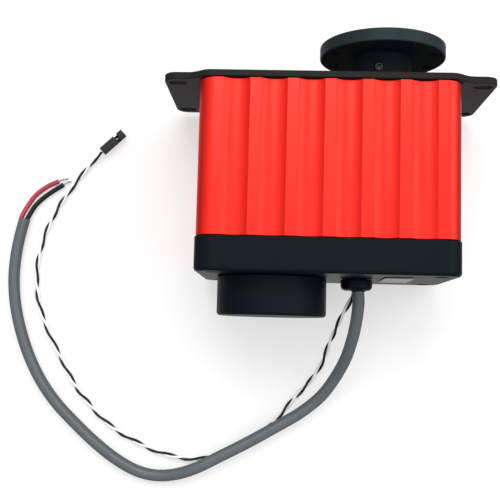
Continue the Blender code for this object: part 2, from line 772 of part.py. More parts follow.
def make_output_shaft(parent):
    """Shaft, output gear, hub disc, set screw, collar and the feedback shaft under them."""
    low = GEAR_PLATE[0] + GAP
    profile = [
        (0, low),
        (OUTPUT_SHAFT_RADIUS, low),
        (OUTPUT_SHAFT_RADIUS, SHAFT_END - SHAFT_EDGE),
        (OUTPUT_SHAFT_RADIUS - SHAFT_EDGE, SHAFT_END),
        (0, SHAFT_END),
    ]
    new_object("output_shaft", turned(profile, 28), BARE_STEEL, OUTPUT_AXIS, parent)
    first, _ = idler_places()
    low, high = LEVELS[3]
    outline = driven_wheel(OUTPUT_TEETH, COARSE_MODULE, OUTPUT_AXIS, first)
    gear = new_object("output_gear", prism(outline, low, high), BARE_STEEL, OUTPUT_AXIS, parent)
    cut(gear, (drill(OUTPUT_BORE_RADIUS, low - 1, high + 1, 28), OUTPUT_AXIS))
    make_output_disc(parent)
    collar = tube(COLLAR_RING_RADIUS, OUTPUT_BORE_RADIUS, *COLLAR_RING, 24)
    new_object("shaft_collar", collar, BARE_STEEL, OUTPUT_AXIS, parent)
    feedback = disc(FEEDBACK_SHAFT_RADIUS, FEEDBACK_SHAFT_BOTTOM, GEAR_PLATE[0], 16)
    new_object("feedback_shaft", feedback, BARE_STEEL, OUTPUT_AXIS, parent)


def make_output_disc(parent):
    """The round output disc with its hub underneath and its ring of holes."""
    profile = [
        (OUTPUT_BORE_RADIUS, HUB_BOTTOM),
        (HUB_RADIUS - HUB_EDGE, HUB_BOTTOM),
        (HUB_RADIUS, HUB_BOTTOM + HUB_EDGE),
        (HUB_RADIUS, DISC_BOTTOM),
        (DISC_RADIUS - DISC_EDGE, DISC_BOTTOM),
        (DISC_RADIUS, DISC_BOTTOM + DISC_EDGE),
        (DISC_RADIUS, DISC_TOP - DISC_EDGE),
        (DISC_RADIUS - DISC_EDGE, DISC_TOP),
        (OUTPUT_BORE_RADIUS, DISC_TOP),
    ]
    output_disc = new_object("output_disc", turned(profile, 40), BLACK_ANODISED, OUTPUT_AXIS, parent)
    for index in range(DISC_HOLE_COUNT):
        across, up = polar(DISC_HOLE_CIRCLE, 360 * (index + 0.5) / DISC_HOLE_COUNT)
        place = (OUTPUT_AXIS[0] + across, OUTPUT_AXIS[1] + up)
        cut(output_disc, (drill(DISC_HOLE_RADIUS, DISC_BOTTOM - 1, DISC_TOP + 1, 12), place))
    hole = radial_bar(SET_SCREW_HOLE_RADIUS, OUTPUT_BORE_RADIUS - 1.5, HUB_RADIUS + 2)
    cut(output_disc, (hole, OUTPUT_AXIS))
    screw = radial_bar(SET_SCREW_RADIUS, OUTPUT_BORE_RADIUS, HUB_RADIUS - 0.6)
    new_object("hub_set_screw", screw, BLACK_STEEL, OUTPUT_AXIS, parent)


def radial_bar(radius, inner, outer):
    """A round bar that points away from the shaft, along the set screw."""
    shape = disc(radius, inner, outer, 12)
    turn = Vector((math.cos(SET_SCREW_ANGLE), 0.0, math.sin(SET_SCREW_ANGLE)))
    rotation = Vector((0, 1, 0)).rotation_difference(turn).to_matrix()
    bmesh.ops.rotate(shape, verts=shape.verts, cent=(0, 0, 0), matrix=rotation)
    bmesh.ops.translate(shape, verts=shape.verts, vec=(0, SET_SCREW_Y, 0))
    return shape


def make_bearing(parent):
    """The bearing carrier, and the ball bearing in it: two rings and the caged balls between them."""
    carrier_top = PLATE_TOP - GAP
    carrier = [
        (CARRIER_LIP_RADIUS, CARRIER_BOTTOM),
        (CARRIER_RADIUS, CARRIER_BOTTOM),
        (CARRIER_RADIUS, CARRIER_FLANGE_BOTTOM),
        (CARRIER_FLANGE_RADIUS, CARRIER_FLANGE_BOTTOM),
        (CARRIER_FLANGE_RADIUS, PLATE_BOTTOM - GAP),
        (CARRIER_RADIUS, PLATE_BOTTOM - GAP),
        (CARRIER_RADIUS, carrier_top),
        (BEARING_SEAT_RADIUS, carrier_top),
        (BEARING_SEAT_RADIUS, BEARING_SEAT_BOTTOM),
        (CARRIER_LIP_RADIUS, BEARING_SEAT_BOTTOM),
    ]
    new_object("bearing_carrier", turned(carrier, 28), BARE_ALUMINIUM, OUTPUT_AXIS)
    outer = tube(*BEARING_OUTER_RING, BEARING_LOW, BEARING_HIGH, 28)
    new_object("bearing_outer_ring", outer, BARE_STEEL, OUTPUT_AXIS)
    inner = tube(BEARING_INNER_RING_RADIUS, OUTPUT_BORE_RADIUS, BEARING_LOW, BEARING_HIGH, 28)
    new_object("bearing_inner_ring", inner, BARE_STEEL, OUTPUT_AXIS, parent)
    turning = joint_axis("ball_cage_axis", OUTPUT_AXIS)
    middle = (BEARING_LOW + BEARING_HIGH) / 2
    radii = (BALL_CIRCLE + CAGE_HALF_WIDTH, BALL_CIRCLE - CAGE_HALF_WIDTH)
    ring = tube(*radii, middle - CAGE_HALF_HEIGHT, middle + CAGE_HALF_HEIGHT, 27)
    cage = new_object("bearing_ball_cage", ring, BRASS, OUTPUT_AXIS, turning)
    for index in range(BALL_COUNT):
        across, up = polar(BALL_CIRCLE, 360 * index / BALL_COUNT)
        join(cage, (ball(middle), (OUTPUT_AXIS[0] + across, OUTPUT_AXIS[1] + up)))


def ball(y):
    """One ball of the bearing."""
    steps = 5
    profile = [
        (BALL_RADIUS * math.sin(math.pi * step / steps), y - BALL_RADIUS * math.cos(math.pi * step / steps))
        for step in range(1, steps)
    ]
    return turned([(0, y - BALL_RADIUS)] + profile + [(0, y + BALL_RADIUS)], 8)


def make_feedback_sensor():
    """The position sensor under the output shaft."""
    low, high = FEEDBACK_Y
    socket_radius = FEEDBACK_SHAFT_RADIUS + GAP
    profile = [
        (0, low),
        (FEEDBACK_RADIUS, low),
        (FEEDBACK_RADIUS, high),
        (socket_radius, high),
        (socket_radius, FEEDBACK_SOCKET_BOTTOM),
        (0, FEEDBACK_SOCKET_BOTTOM),
    ]
    new_object("feedback_sensor", turned(profile, 24), BLACK_PLASTIC, OUTPUT_AXIS)


# --- motor ---


def make_motor_case():
    """The motor's can, end bell, magnets and brushes."""
    nose = MOTOR_FRONT - MOTOR_NOSE_THICKNESS
    profile = [
        (MOTOR_INNER_RADIUS, MOTOR_REAR),
        (MOTOR_RADIUS, MOTOR_REAR),
        (MOTOR_RADIUS, MOTOR_FRONT - MOTOR_EDGE),
        (MOTOR_RADIUS - MOTOR_EDGE, MOTOR_FRONT),
        (MOTOR_NOSE_HOLE, MOTOR_FRONT),
        (MOTOR_NOSE_HOLE, nose),
        (MOTOR_INNER_RADIUS, nose),
    ]
    can = new_object("motor_can", turned(profile, 28), BARE_STEEL, MOTOR_AXIS)
    bell_end, bell_front = BELL_Y
    bell_profile = [
        (MOTOR_SHAFT_RADIUS + GAP, BELL_HUB_END),
        (BELL_HUB_RADIUS, BELL_HUB_END),
        (BELL_HUB_RADIUS, bell_end),
        (BELL_RADIUS, bell_end),
        (BELL_RADIUS, bell_front),
        (MOTOR_SHAFT_RADIUS + GAP, bell_front),
    ]
    bell = new_object("motor_end_bell", turned(bell_profile, 24), BLACK_PLASTIC, MOTOR_AXIS)
    outer, inner = MAGNET_RADII
    for index, side in enumerate((-1, 1), 1):
        screw_place = (MOTOR_AXIS[0] + side * MOTOR_SCREW_X, MID_Z)
        cut(can, (drill(SCREW_HOLE_RADIUS, nose - 1, MOTOR_FRONT + 1, 12), screw_place))
        holder_x = sorted(side * x for x in HOLDER_X)
        join(bell, (block(holder_x, HOLDER_Y, (-HOLDER_HALF_WIDTH, HOLDER_HALF_WIDTH)), MOTOR_AXIS))
        brush_x = sorted(side * x for x in BRUSH_X)
        brush = block(brush_x, BRUSH_Y, (-BRUSH_HALF_WIDTH, BRUSH_HALF_WIDTH))
        new_object(f"motor_brush_{index}", brush, CARBON, MOTOR_AXIS)
        first, last = side * 90 - MAGNET_HALF_ANGLE, side * 90 + MAGNET_HALF_ANGLE
        outline = arc((0, 0), outer, first, last, 12) + arc((0, 0), inner, last, first, 12)
        new_object(f"motor_magnet_{index}", prism(outline, *MAGNET_Y), FERRITE, MOTOR_AXIS)


def make_rotor(parent):
    """What the motor turns: shaft, slotted core, commutator and pinion."""
    shaft = disc(MOTOR_SHAFT_RADIUS, MOTOR_SHAFT_REAR, LEVELS[0][1] - 0.2, 14)
    new_object("motor_shaft", shaft, BARE_STEEL, MOTOR_AXIS, parent)
    bore = MOTOR_SHAFT_RADIUS + GAP
    low, high = ROTOR_Y
    core = new_object("rotor_core", prism(rotor_outline(), low, high), COPPER, MOTOR_AXIS, parent)
    cut(core, (drill(bore, low - 1, high + 1, 14), MOTOR_AXIS))
    commutator = tube(COMMUTATOR_RADIUS, bore, *COMMUTATOR_Y, 20)
    new_object("commutator", commutator, COPPER, MOTOR_AXIS, parent)
    first, _ = idler_places()
    low, high = LEVELS[0]
    outline = pinion(FINE_MODULE, MOTOR_AXIS, first)
    small = new_object("motor_pinion", prism(outline, low, high), BRASS, MOTOR_AXIS, parent)
    cut(small, (drill(bore, low - 1, high + 1, 14), MOTOR_AXIS))


def rotor_outline():
    """Outline of the rotor core: arms with broad shoes, and a winding slot between each two."""
    root_radius, root_angle = ROTOR_ARM_ROOT
    tip_radius, tip_angle = ROTOR_ARM_TIP
    half = 180 / ROTOR_ARMS
    points = []
    for arm in range(ROTOR_ARMS):
        middle = 360 / ROTOR_ARMS * arm
        first, last = middle - half, middle + half
        points += [polar(root_radius, first + root_angle), polar(tip_radius, first + tip_angle)]
        points += arc((0, 0), ROTOR_RADIUS, first + ROTOR_SHOE_GAP, last - ROTOR_SHOE_GAP, 7)
        points += [polar(tip_radius, last - tip_angle), polar(root_radius, last - root_angle)]
    return points


def polar(radius, degrees):
    """A point at a radius and an angle."""
    return (radius * math.cos(math.radians(degrees)), radius * math.sin(math.radians(degrees)))


# --- electronics and leads ---


def make_board():
    """The controller board with its power transistors and capacitor."""
    new_object("controller_board", block(BOARD_X, BOARD_Y, BOARD_Z), BOARD_GREEN)
    top = BOARD_Y[1] + GAP
    width, height = TRANSISTOR_SIZE
    for index, x in enumerate(TRANSISTOR_STARTS, 1):
        body = block((x, x + width), (top, top + height), TRANSISTOR_Z)
        new_object(f"power_transistor_{index}", body, BLACK_PLASTIC)
    capacitor = disc(CAPACITOR_RADIUS, top, top + CAPACITOR_HEIGHT, 20)
    new_object("smoothing_capacitor", capacitor, BLACK_PLASTIC, CAPACITOR_PLACE)


def make_gland():
    """The cable gland in the cap's end face and its nut inside."""
    profile = [
        (0, GLAND_HEAD - GLAND_LENGTH),
        *[(radius, GLAND_HEAD - out) for radius, out in GLAND_EDGE],
        (GLAND_RADIUS, GLAND_HEAD),
        (GLAND_THREAD_RADIUS, GLAND_HEAD),
        (GLAND_THREAD_RADIUS, GLAND_INNER_END),
        (0, GLAND_INNER_END),
    ]
    new_object("cable_gland", turned(profile, 28), BLACK_PLASTIC, GLAND_AXIS)
    hexagon = [polar(GLAND_NUT_RADIUS, 60 * side) for side in range(6)]
    nut = new_object("gland_nut", prism(hexagon, CAP_FLOOR + GAP, GLAND_NUT_TOP), BLACK_PLASTIC, GLAND_AXIS)
    cut(nut, (drill(GLAND_HOLE_RADIUS, CAP_FLOOR - 1, GLAND_NUT_TOP + 1, 20), GLAND_AXIS))


def smooth_route(points, spacing):
    """Points evenly spaced on a smooth curve through the given ones (Catmull-Rom)."""
    knots = [Vector(point) for point in points]
    knots = [knots[0] * 2 - knots[1]] + knots + [knots[-1] * 2 - knots[-2]]
    fine = []
    for before, start, end, after in zip(knots, knots[1:], knots[2:], knots[3:]):
        fine += [catmull_rom(before, start, end, after, step / 20) for step in range(20)]
    fine.append(knots[-2])
    lengths = [0.0]
    for first, second in zip(fine, fine[1:]):
        lengths.append(lengths[-1] + (second - first).length)
    count = max(2, round(lengths[-1] / spacing))
    return [point_at(fine, lengths, lengths[-1] * step / count) for step in range(count + 1)]


def catmull_rom(before, start, end, after, part):
    """A point on the smooth curve between start and end."""
    linear = (end - before) * part
    square = (before * 2 - start * 5 + end * 4 - after) * part**2
    cube = (start * 3 - before - end * 3 + after) * part**3
    return start + (linear + square + cube) / 2


def point_at(points, lengths, distance):
    """The point at a distance along a line of points."""
    for index in range(1, len(points)):
        if lengths[index] >= distance:
            span = lengths[index] - lengths[index - 1]
            part = (distance - lengths[index - 1]) / span if span else 0.0
            return points[index - 1].lerp(points[index], part)
    return points[-1]


def make_lead(name, route, radius, look, spacing, resolution=2):
    """A flexible lead as a round tube along its route."""
    points = smooth_route(route, spacing)
    curve = bpy.data.curves.new(name, "CURVE")
    curve.dimensions = "3D"
    curve.bevel_depth = radius * MM
    curve.bevel_resolution = resolution
    curve.use_fill_caps = True
    curve.resolution_u = 1
    curve.render_resolution_u = 0
    spline = curve.splines.new("POLY")
    spline.points.add(len(points) - 1)
    for slot, point in zip(spline.points, points):
        slot.co = (*(point * MM), 1.0)
    obj = bpy.data.objects.new(name, curve)
    bpy.context.scene.collection.objects.link(obj)
    finish(obj, look)


def make_leads():
    """The grey cable, its two power leads and the signal pair with its plug."""
    make_lead("cable_jacket", JACKET_ROUTE, JACKET_RADIUS, GREY_JACKET, 10.0)
    make_lead("red_lead", RED_ROUTE, LEAD_RADIUS, RED_LEAD, 4.8)
    make_lead("black_lead", BLACK_ROUTE, LEAD_RADIUS, BLACK_PLASTIC, 4.8)
    make_lead("red_lead_strands", RED_STRAND_ROUTE, STRAND_RADIUS, TINNED_WIRE, 1.6)
    make_lead("black_lead_strands", BLACK_STRAND_ROUTE, STRAND_RADIUS, TINNED_WIRE, 1.6)
    make_lead("signal_pair", PAIR_ROUTE, PAIR_RADIUS, BLACK_PLASTIC, 6.0)
    plug = block((0.0, PLUG_LENGTH), (-PLUG_WIDTH / 2, PLUG_WIDTH / 2), (0.0, PLUG_HEIGHT))
    obj = new_object("signal_plug", plug, BLACK_PLASTIC)
    obj.location = (PLUG_START[0] * MM, PLUG_START[1] * MM, 0.0)
    obj.rotation_euler = (0.0, 0.0, PLUG_TURN)


def main():
    """Build the actuator."""
    clear_scene()
    output = joint_axis("output_axis", OUTPUT_AXIS)
    motor = joint_axis("motor_axis", MOTOR_AXIS)
    make_housing()
    make_plate()
    make_bottom_cap()
    make_motor_cap()
    make_end_label()
    make_gear_plate()
    make_gear_train()
    make_output_shaft(output)
    make_bearing(output)
    make_feedback_sensor()
    make_motor_case()
    make_rotor(motor)
    make_board()
    make_gland()
    make_leads()


main()
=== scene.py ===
"""A large 12 V servo actuator lying on its back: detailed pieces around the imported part."""
from math import acos, atan2, copysign, cos, hypot, pi, radians, sin, sqrt, tan

import bpy
from mathutils import Matrix, Vector
from mathutils.geometry import tessellate_polygon
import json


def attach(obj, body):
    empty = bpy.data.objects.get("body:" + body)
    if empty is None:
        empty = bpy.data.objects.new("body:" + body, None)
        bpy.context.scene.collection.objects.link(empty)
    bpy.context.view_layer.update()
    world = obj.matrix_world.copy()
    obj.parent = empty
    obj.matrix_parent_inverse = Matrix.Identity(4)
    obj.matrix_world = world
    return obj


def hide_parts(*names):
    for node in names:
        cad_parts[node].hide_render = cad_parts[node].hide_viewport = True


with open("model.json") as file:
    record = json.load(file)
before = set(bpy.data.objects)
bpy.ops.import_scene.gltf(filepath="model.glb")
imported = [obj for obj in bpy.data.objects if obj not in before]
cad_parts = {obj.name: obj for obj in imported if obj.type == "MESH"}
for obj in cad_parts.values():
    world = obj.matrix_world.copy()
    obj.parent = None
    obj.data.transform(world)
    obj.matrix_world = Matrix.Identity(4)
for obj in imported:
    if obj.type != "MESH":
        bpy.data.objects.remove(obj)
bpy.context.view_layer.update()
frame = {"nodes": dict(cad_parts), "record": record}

# Lengths are in millimetres in the row frame, and turn into metres as each mesh is made.
MM = 0.001
DEPTH = 61.0
MID_Z = DEPTH / 2
ROUND_SEGMENTS = 96
BORE_SEGMENTS = 32
EDGE_STEPS = 4
SHOULDER_STEPS = 8
ARC_STEPS = 10
BALL_STEPS = 12
# Two directions this close, in radians, are one straight line.
STRAIGHT = 1e-6

# The case.
MOTOR_CAP_END = -56.5
CAP_END = -40.55
CAP_TOP = -27.0
CAP_FLOOR = -37.5
HOUSING_BOTTOM = -26.7
HOUSING_TOP = 34.5
EAR_BOTTOM = 34.5
PLATE_BOTTOM = 34.8
PLATE_TOP = 37.35
HOUSING_HALF_WIDTH = 50.8
HOUSING_BACK = 0.4
HOUSING_FRONT = 60.6
HOUSING_CORNER = 6.5
HOUSING_WALL = 3.5
INNER_CHAMFER = 12.0
GROOVE_CENTRES = (36.0, 21.6, 7.2, -7.2, -21.6, -36.0)
GROOVE_RADIUS = 8.5
GROOVE_DEPTH = 1.7
GROOVE_EDGE = 0.3
PLATE_HALF_WIDTH = 65.2
SHOULDER_START = 46.5
SHOULDER_END = 55.5
SEAT_HALF_WIDTH = 51.1
EAR_INSET = 4.4
EAR_CORNER = 5.2
SLOT_X = 60.0
SLOT_Z = 20.4
SLOT_REACH = 1.1
SLOT_RADIUS = 2.3
SCREW_X = 43.8
SCREW_Z = 23.3
SCREW_HOLE = 1.8
SCREW_RADIUS = 1.5
TIP_CHAMFER = 0.4
SOCKET_DEPTH = 1.0
SOCKET_HALF_WIDTH = 1.1
PLATE_RECESS = 2.9
PLATE_RECESS_FLOOR = 35.95
CAP_RECESS = 2.6
CAP_RECESS_FLOOR = -37.35
CAP_HALF_WIDTH = 51.3
CAP_CORNER = 7.5
CAP_WALL = 4.0
COLLAR_RADIUS = 19.2
COLLAR_BORE = 17.8
COLLAR_END = -44.8
MOTOR_CAP_RADIUS = 22.3
MOTOR_CAP_INNER = 19.5
MOTOR_CAP_TOP = -40.85
MOTOR_CAP_FLOOR = -54.3

# The output and its bearing.
OUTPUT_AXIS = (22.8, MID_Z)
MOTOR_AXIS = (-21.2, MID_Z)
GLAND_AXIS = (13.3, MID_Z)
GLAND_HOLE = 4.6
SHAFT_RADIUS = 6.3
SHAFT_BOTTOM = 3.8
SHAFT_END = 56.1
BORE_RADIUS = 6.6
DISC_BOTTOM = 51.3
DISC_TOP = 56.5
DISC_RADIUS = 26.0
DISC_HOLE_CIRCLE = 21.4
DISC_HOLE_RADIUS = 2.0
DISC_HOLE_COUNT = 8
HUB_RADIUS = 12.0
HUB_BOTTOM = 41.0
HUB_FILLET = 0.6
SET_SCREW_Y = 45.5
SET_SCREW_ANGLE = radians(103)
SET_SCREW_HOLE = 2.0
SET_SCREW_RADIUS = 1.7
CARRIER_HOLE = 16.3
BALL_CIRCLE = 9.7
BALL_RADIUS = 1.2
BALL_COUNT = 9
BALL_Y = 33.1

# The leads, as points along their middles from the body outwards.
JACKET_RADIUS = 2.5
LEAD_RADIUS = 1.05
WIRE_RADIUS = 0.54
WIRE_GAP = 0.01
STRAND_RADIUS = 0.075
# How far each lead starts inside the gland.
IN_GLAND = 1.8
# The pair was twisted by hand: how far along it the white wire first lies on top, then each turn's length.
FIRST_CROSSING = 11.4
TURN_LENGTHS = (
    16.8, 18.9, 14.0, 14.2, 15.4, 15.4, 15.3, 15.5, 14.7, 14.2,
    12.2, 15.3, 16.5, 15.5, 15.6, 15.1, 13.2, 16.6,
)
JACKET_ROUTE = (
    (14.1, -46.2, 30.5), (14.3, -50.0, 30.2), (14.0, -55.0, 28.9), (13.4, -60.0, 26.6),
    (12.5, -65.0, 23.8), (10.3, -73.3, 17.6), (6.2, -82.0, 10.6), (0.4, -90.2, 6.4),
    (-8.3, -97.4, 5.6), (-19.2, -104.0, 5.6), (-31.0, -110.8, 5.6), (-41.8, -116.5, 5.6),
    (-51.6, -121.6, 5.4), (-60.4, -124.8, 4.2), (-69.4, -125.9, 3.0), (-78.3, -124.2, 2.6),
    (-87.4, -119.6, 2.6), (-96.6, -113.0, 2.6), (-105.9, -104.9, 2.6), (-114.8, -96.2, 2.6),
    (-121.9, -87.0, 2.6), (-127.4, -77.1, 2.6), (-131.5, -67.0, 2.6), (-134.4, -57.1, 2.6),
    (-136.0, -48.0, 2.6), (-136.5, -39.1, 2.6), (-135.9, -30.0, 2.6), (-134.6, -22.0, 2.6),
    (-133.1, -15.4, 2.6),
)
RED_ROUTE = (
    (-134.5, -14.2, 2.5), (-132.4, -9.5, 1.8), (-129.0, -4.2, 1.3), (-124.0, -0.1, 1.3),
    (-118.9, 2.4, 1.3),
)
BLACK_ROUTE = (
    (-131.8, -14.9, 2.5), (-128.9, -9.2, 1.8), (-125.3, -5.2, 1.3), (-120.9, -1.9, 1.3),
    (-116.6, 0.9, 1.3),
)
RED_STRAND_ROUTE = ((-118.9, 2.4, 1.3), (-116.6, 3.4, 1.1), (-114.4, 3.8, 0.8))
BLACK_STRAND_ROUTE = ((-116.6, 0.9, 1.3), (-114.9, 2.0, 1.1), (-113.0, 2.7, 0.8))
PAIR_ROUTE = (
    (12.4, -46.1, 26.7), (11.5, -48.8, 26.4), (9.8, -52.2, 25.4), (7.9, -55.8, 23.2),
    (5.8, -61.4, 18.3), (3.4, -67.8, 12.2), (0.9, -76.0, 5.6), (-4.6, -84.6, 1.9),
    (-11.0, -91.8, 1.4), (-16.5, -98.7, 1.4), (-21.6, -104.0, 1.4), (-26.5, -108.3, 1.4),
    (-32.8, -112.4, 1.4), (-39.5, -115.8, 1.4), (-46.5, -117.8, 1.4), (-54.0, -118.6, 1.4),
    (-62.0, -117.8, 1.4), (-69.9, -115.8, 1.4), (-77.5, -112.8, 1.4), (-85.0, -109.0, 1.4),
    (-91.5, -104.8, 1.4), (-97.2, -99.8, 1.4), (-102.0, -94.6, 1.4), (-106.8, -88.8, 1.4),
    (-110.8, -82.2, 1.4), (-114.9, -75.0, 1.4), (-119.2, -66.9, 1.4), (-122.8, -59.1, 1.4),
    (-125.4, -50.9, 1.4), (-126.5, -42.4, 1.4), (-126.4, -34.2, 1.4), (-124.8, -25.6, 1.4),
    (-122.2, -17.6, 1.4), (-119.0, -10.6, 1.4), (-115.2, -4.2, 1.4), (-110.7, 2.2, 1.4),
    (-106.6, 7.9, 1.6), (-102.9, 12.4, 2.1), (-99.55, 15.95, 2.5),
)
PLUG_START = (-99.2, 16.3)
PLUG_TURN = radians(43.5)
# The rounding of the plug's edges, in metres.
PLUG_EDGE = 0.00012

# The camera: where it stands, what it looks at, its roll, its lens and its sensor.
CAMERA_PLACE = (-17.55, -64.32, 389.08)
CAMERA_TARGET = (-30.51, -29.43, 30.0)
CAMERA_ROLL = radians(1.5)
CAMERA_LENS = 63.075
CAMERA_SENSOR = 36.0

# The surround's brightness: at the horizon, what it gains overhead, what pale walls at +X and -X add, the
# power of the height that their light rises with, and what it gains straight below, where it stands in for
# the floor in reflections. The backdrop is what the camera itself sees of it.
SKY_HORIZON = 0.25
SKY_OVERHEAD = 0.85
SKY_RIGHT = 0.8
SKY_LEFT = 0.2
WALL_RISE = 0.4
SKY_BELOW = 0.45
BACKDROP = 0.85
WHITE = (1.0, 1.0, 1.0, 1.0)
# The side of each square light, in metres.
LIGHT_SIZE = 0.7

# A surface's slow drift and fine relief, as multiples of its grain, and the relief's depth in metres.
DRIFT_SCALE = 0.1
RELIEF_SCALE = 4.0
RELIEF_DEPTH = 0.00004
LOOKS = {}


# --- materials ---


def add_node(tree, kind, inputs, **settings):
    """A shader node: its inputs by name, each a number, a colour or another node's output."""
    node = tree.nodes.new("ShaderNode" + kind)
    for name, value in settings.items():
        setattr(node, name, value)
    for name, value in inputs.items():
        if isinstance(value, bpy.types.NodeSocket):
            tree.links.new(value, node.inputs[name])
        else:
            node.inputs[name].default_value = value
    return node


def make_look(
    name, colour, shade, roughness, grain, bump,
    stretch=(1.0, 1.0, 1.0), metallic=0.0, coat=0.0, coat_roughness=0.1, specular=0.5,
):
    """A surface whose colour and roughness drift between two values, with a fine relief."""
    material = bpy.data.materials.new(name)
    material.use_nodes = True
    tree = material.node_tree
    place = add_node(tree, "TexCoord", {}).outputs["Object"]
    place = add_node(tree, "Mapping", {"Vector": place, "Scale": stretch}).outputs["Vector"]

    def noise(scale, detail):
        inputs = {"Vector": place, "Scale": scale, "Detail": detail}
        return add_node(tree, "TexNoise", inputs).outputs["Fac"]

    tint_inputs = {"Factor": noise(grain * DRIFT_SCALE, 6.0), "A": (*colour, 1.0), "B": (*shade, 1.0)}
    tint = add_node(tree, "Mix", tint_inputs, data_type="RGBA")
    spread_inputs = {"Value": noise(grain, 4.0), "To Min": roughness[0], "To Max": roughness[1]}
    spread = add_node(tree, "MapRange", spread_inputs)
    relief_inputs = {"Height": noise(grain * RELIEF_SCALE, 3.0), "Strength": bump, "Distance": RELIEF_DEPTH}
    relief = add_node(tree, "Bump", relief_inputs)
    surface = tree.nodes["Principled BSDF"].inputs
    tree.links.new(tint.outputs["Result"], surface["Base Color"])
    tree.links.new(spread.outputs["Result"], surface["Roughness"])
    tree.links.new(relief.outputs["Normal"], surface["Normal"])
    surface["Metallic"].default_value = metallic
    surface["Coat Weight"].default_value = coat
    surface["Coat Roughness"].default_value = coat_roughness
    surface["Specular IOR Level"].default_value = specular
    LOOKS[name] = material


make_look(
    "red_anodised", (0.82, 0.017, 0.009), (0.75, 0.014, 0.007), (0.34, 0.44), 900.0, 0.12,
    metallic=0.8, stretch=(1.0, 0.12, 1.0), coat=0.1, coat_roughness=0.25,
)
make_look(
    "black_anodised", (0.0016, 0.0058, 0.0070), (0.0010, 0.0046, 0.0058), (0.34, 0.42), 1200.0, 0.15,
    specular=0.07,
)
# A lighter copy of the black anodising for the disc's top and rim: painted light, standing in for the light
# they catch from above.
make_look(
    "black_anodised_disc_painted_light", (0.015, 0.025, 0.027), (0.012, 0.021, 0.023), (0.34, 0.42), 1200.0, 0.15,
    specular=0.07,
)
# A browner, lighter copy of the black anodising for the plate: the brown tone is the plate's own, and its
# added lightness is painted light.
make_look(
    "black_anodised_plate_tone_and_painted_light", (0.0155, 0.0150, 0.0130), (0.0135, 0.0130, 0.0114), (0.36, 0.46), 1200.0, 0.15,
    specular=0.04,
)
# A dull copy of the black anodising, with almost no reflection, for the disc's underside, holes, bore and
# hub: painted shade.
make_look(
    "black_anodised_painted_shade", (0.0112, 0.0138, 0.0154), (0.0096, 0.0120, 0.0136), (0.60, 0.72), 1200.0, 0.15,
    specular=0.01,
)
make_look(
    "black_plastic", (0.0012, 0.0044, 0.0074), (0.0008, 0.0034, 0.0060), (0.38, 0.48), 1500.0, 0.2,
    specular=0.08,
)
# A lighter copy of the plug's black plastic, for its upward faces only: painted light on its top.
make_look(
    "plug_plastic", (0.013, 0.017, 0.017), (0.009, 0.012, 0.012), (0.40, 0.52), 1500.0, 0.2,
    specular=0.2,
)
make_look(
    "gland_plastic", (0.0016, 0.0044, 0.0056), (0.0010, 0.0034, 0.0044), (0.20, 0.30), 900.0, 0.08,
    specular=0.08,
)
make_look(
    "steel", (0.56, 0.56, 0.58), (0.46, 0.46, 0.48), (0.22, 0.36), 1500.0, 0.08,
    metallic=1.0, stretch=(1.0, 6.0, 1.0),
)
make_look(
    "black_steel", (0.030, 0.030, 0.033), (0.018, 0.018, 0.020), (0.3, 0.42), 1200.0, 0.08,
    metallic=0.6,
)
make_look(
    "brass", (0.72, 0.52, 0.22), (0.58, 0.40, 0.16), (0.26, 0.4), 1200.0, 0.08,
    metallic=1.0, stretch=(1.0, 4.0, 1.0),
)
make_look("bronze", (0.50, 0.32, 0.17), (0.38, 0.24, 0.12), (0.4, 0.58), 2200.0, 0.2, metallic=1.0)
make_look(
    "bare_aluminium", (0.70, 0.71, 0.73), (0.60, 0.61, 0.63), (0.3, 0.44), 1200.0, 0.1,
    metallic=1.0, stretch=(1.0, 8.0, 1.0),
)
make_look("ferrite", (0.050, 0.050, 0.055), (0.032, 0.032, 0.035), (0.6, 0.8), 2000.0, 0.3)
make_look(
    "copper", (0.66, 0.30, 0.16), (0.5, 0.2, 0.1), (0.28, 0.44), 1500.0, 0.25,
    metallic=1.0, stretch=(6.0, 1.0, 6.0),
)
make_look("carbon", (0.020, 0.020, 0.020), (0.012, 0.012, 0.012), (0.6, 0.8), 2500.0, 0.3)
make_look("circuit_board", (0.02, 0.16, 0.06), (0.012, 0.11, 0.04), (0.3, 0.5), 700.0, 0.1)
make_look("label", (0.27, 0.30, 0.28), (0.22, 0.25, 0.235), (0.36, 0.46), 900.0, 0.05)
make_look(
    "cable_grey", (0.088, 0.103, 0.110), (0.070, 0.083, 0.090), (0.34, 0.46), 1000.0, 0.15,
    specular=0.4,
)
make_look("wire_red", (0.37, 0.022, 0.045), (0.30, 0.016, 0.034), (0.32, 0.42), 1200.0, 0.1)
make_look("wire_black", (0.009, 0.010, 0.010), (0.006, 0.007, 0.007), (0.34, 0.46), 1200.0, 0.1, specular=0.2)
make_look("wire_white", (0.80, 0.80, 0.78), (0.72, 0.72, 0.70), (0.34, 0.46), 1200.0, 0.1)
make_look("tinned_copper", (0.46, 0.43, 0.38), (0.26, 0.22, 0.18), (0.3, 0.45), 2500.0, 0.1, metallic=1.0)


# --- mesh building ---


def heading(start, end):
    """Unit direction from one (a, b) point to another."""
    across, along = end[0] - start[0], end[1] - start[1]
    length = hypot(across, along)
    return across / length, along / length


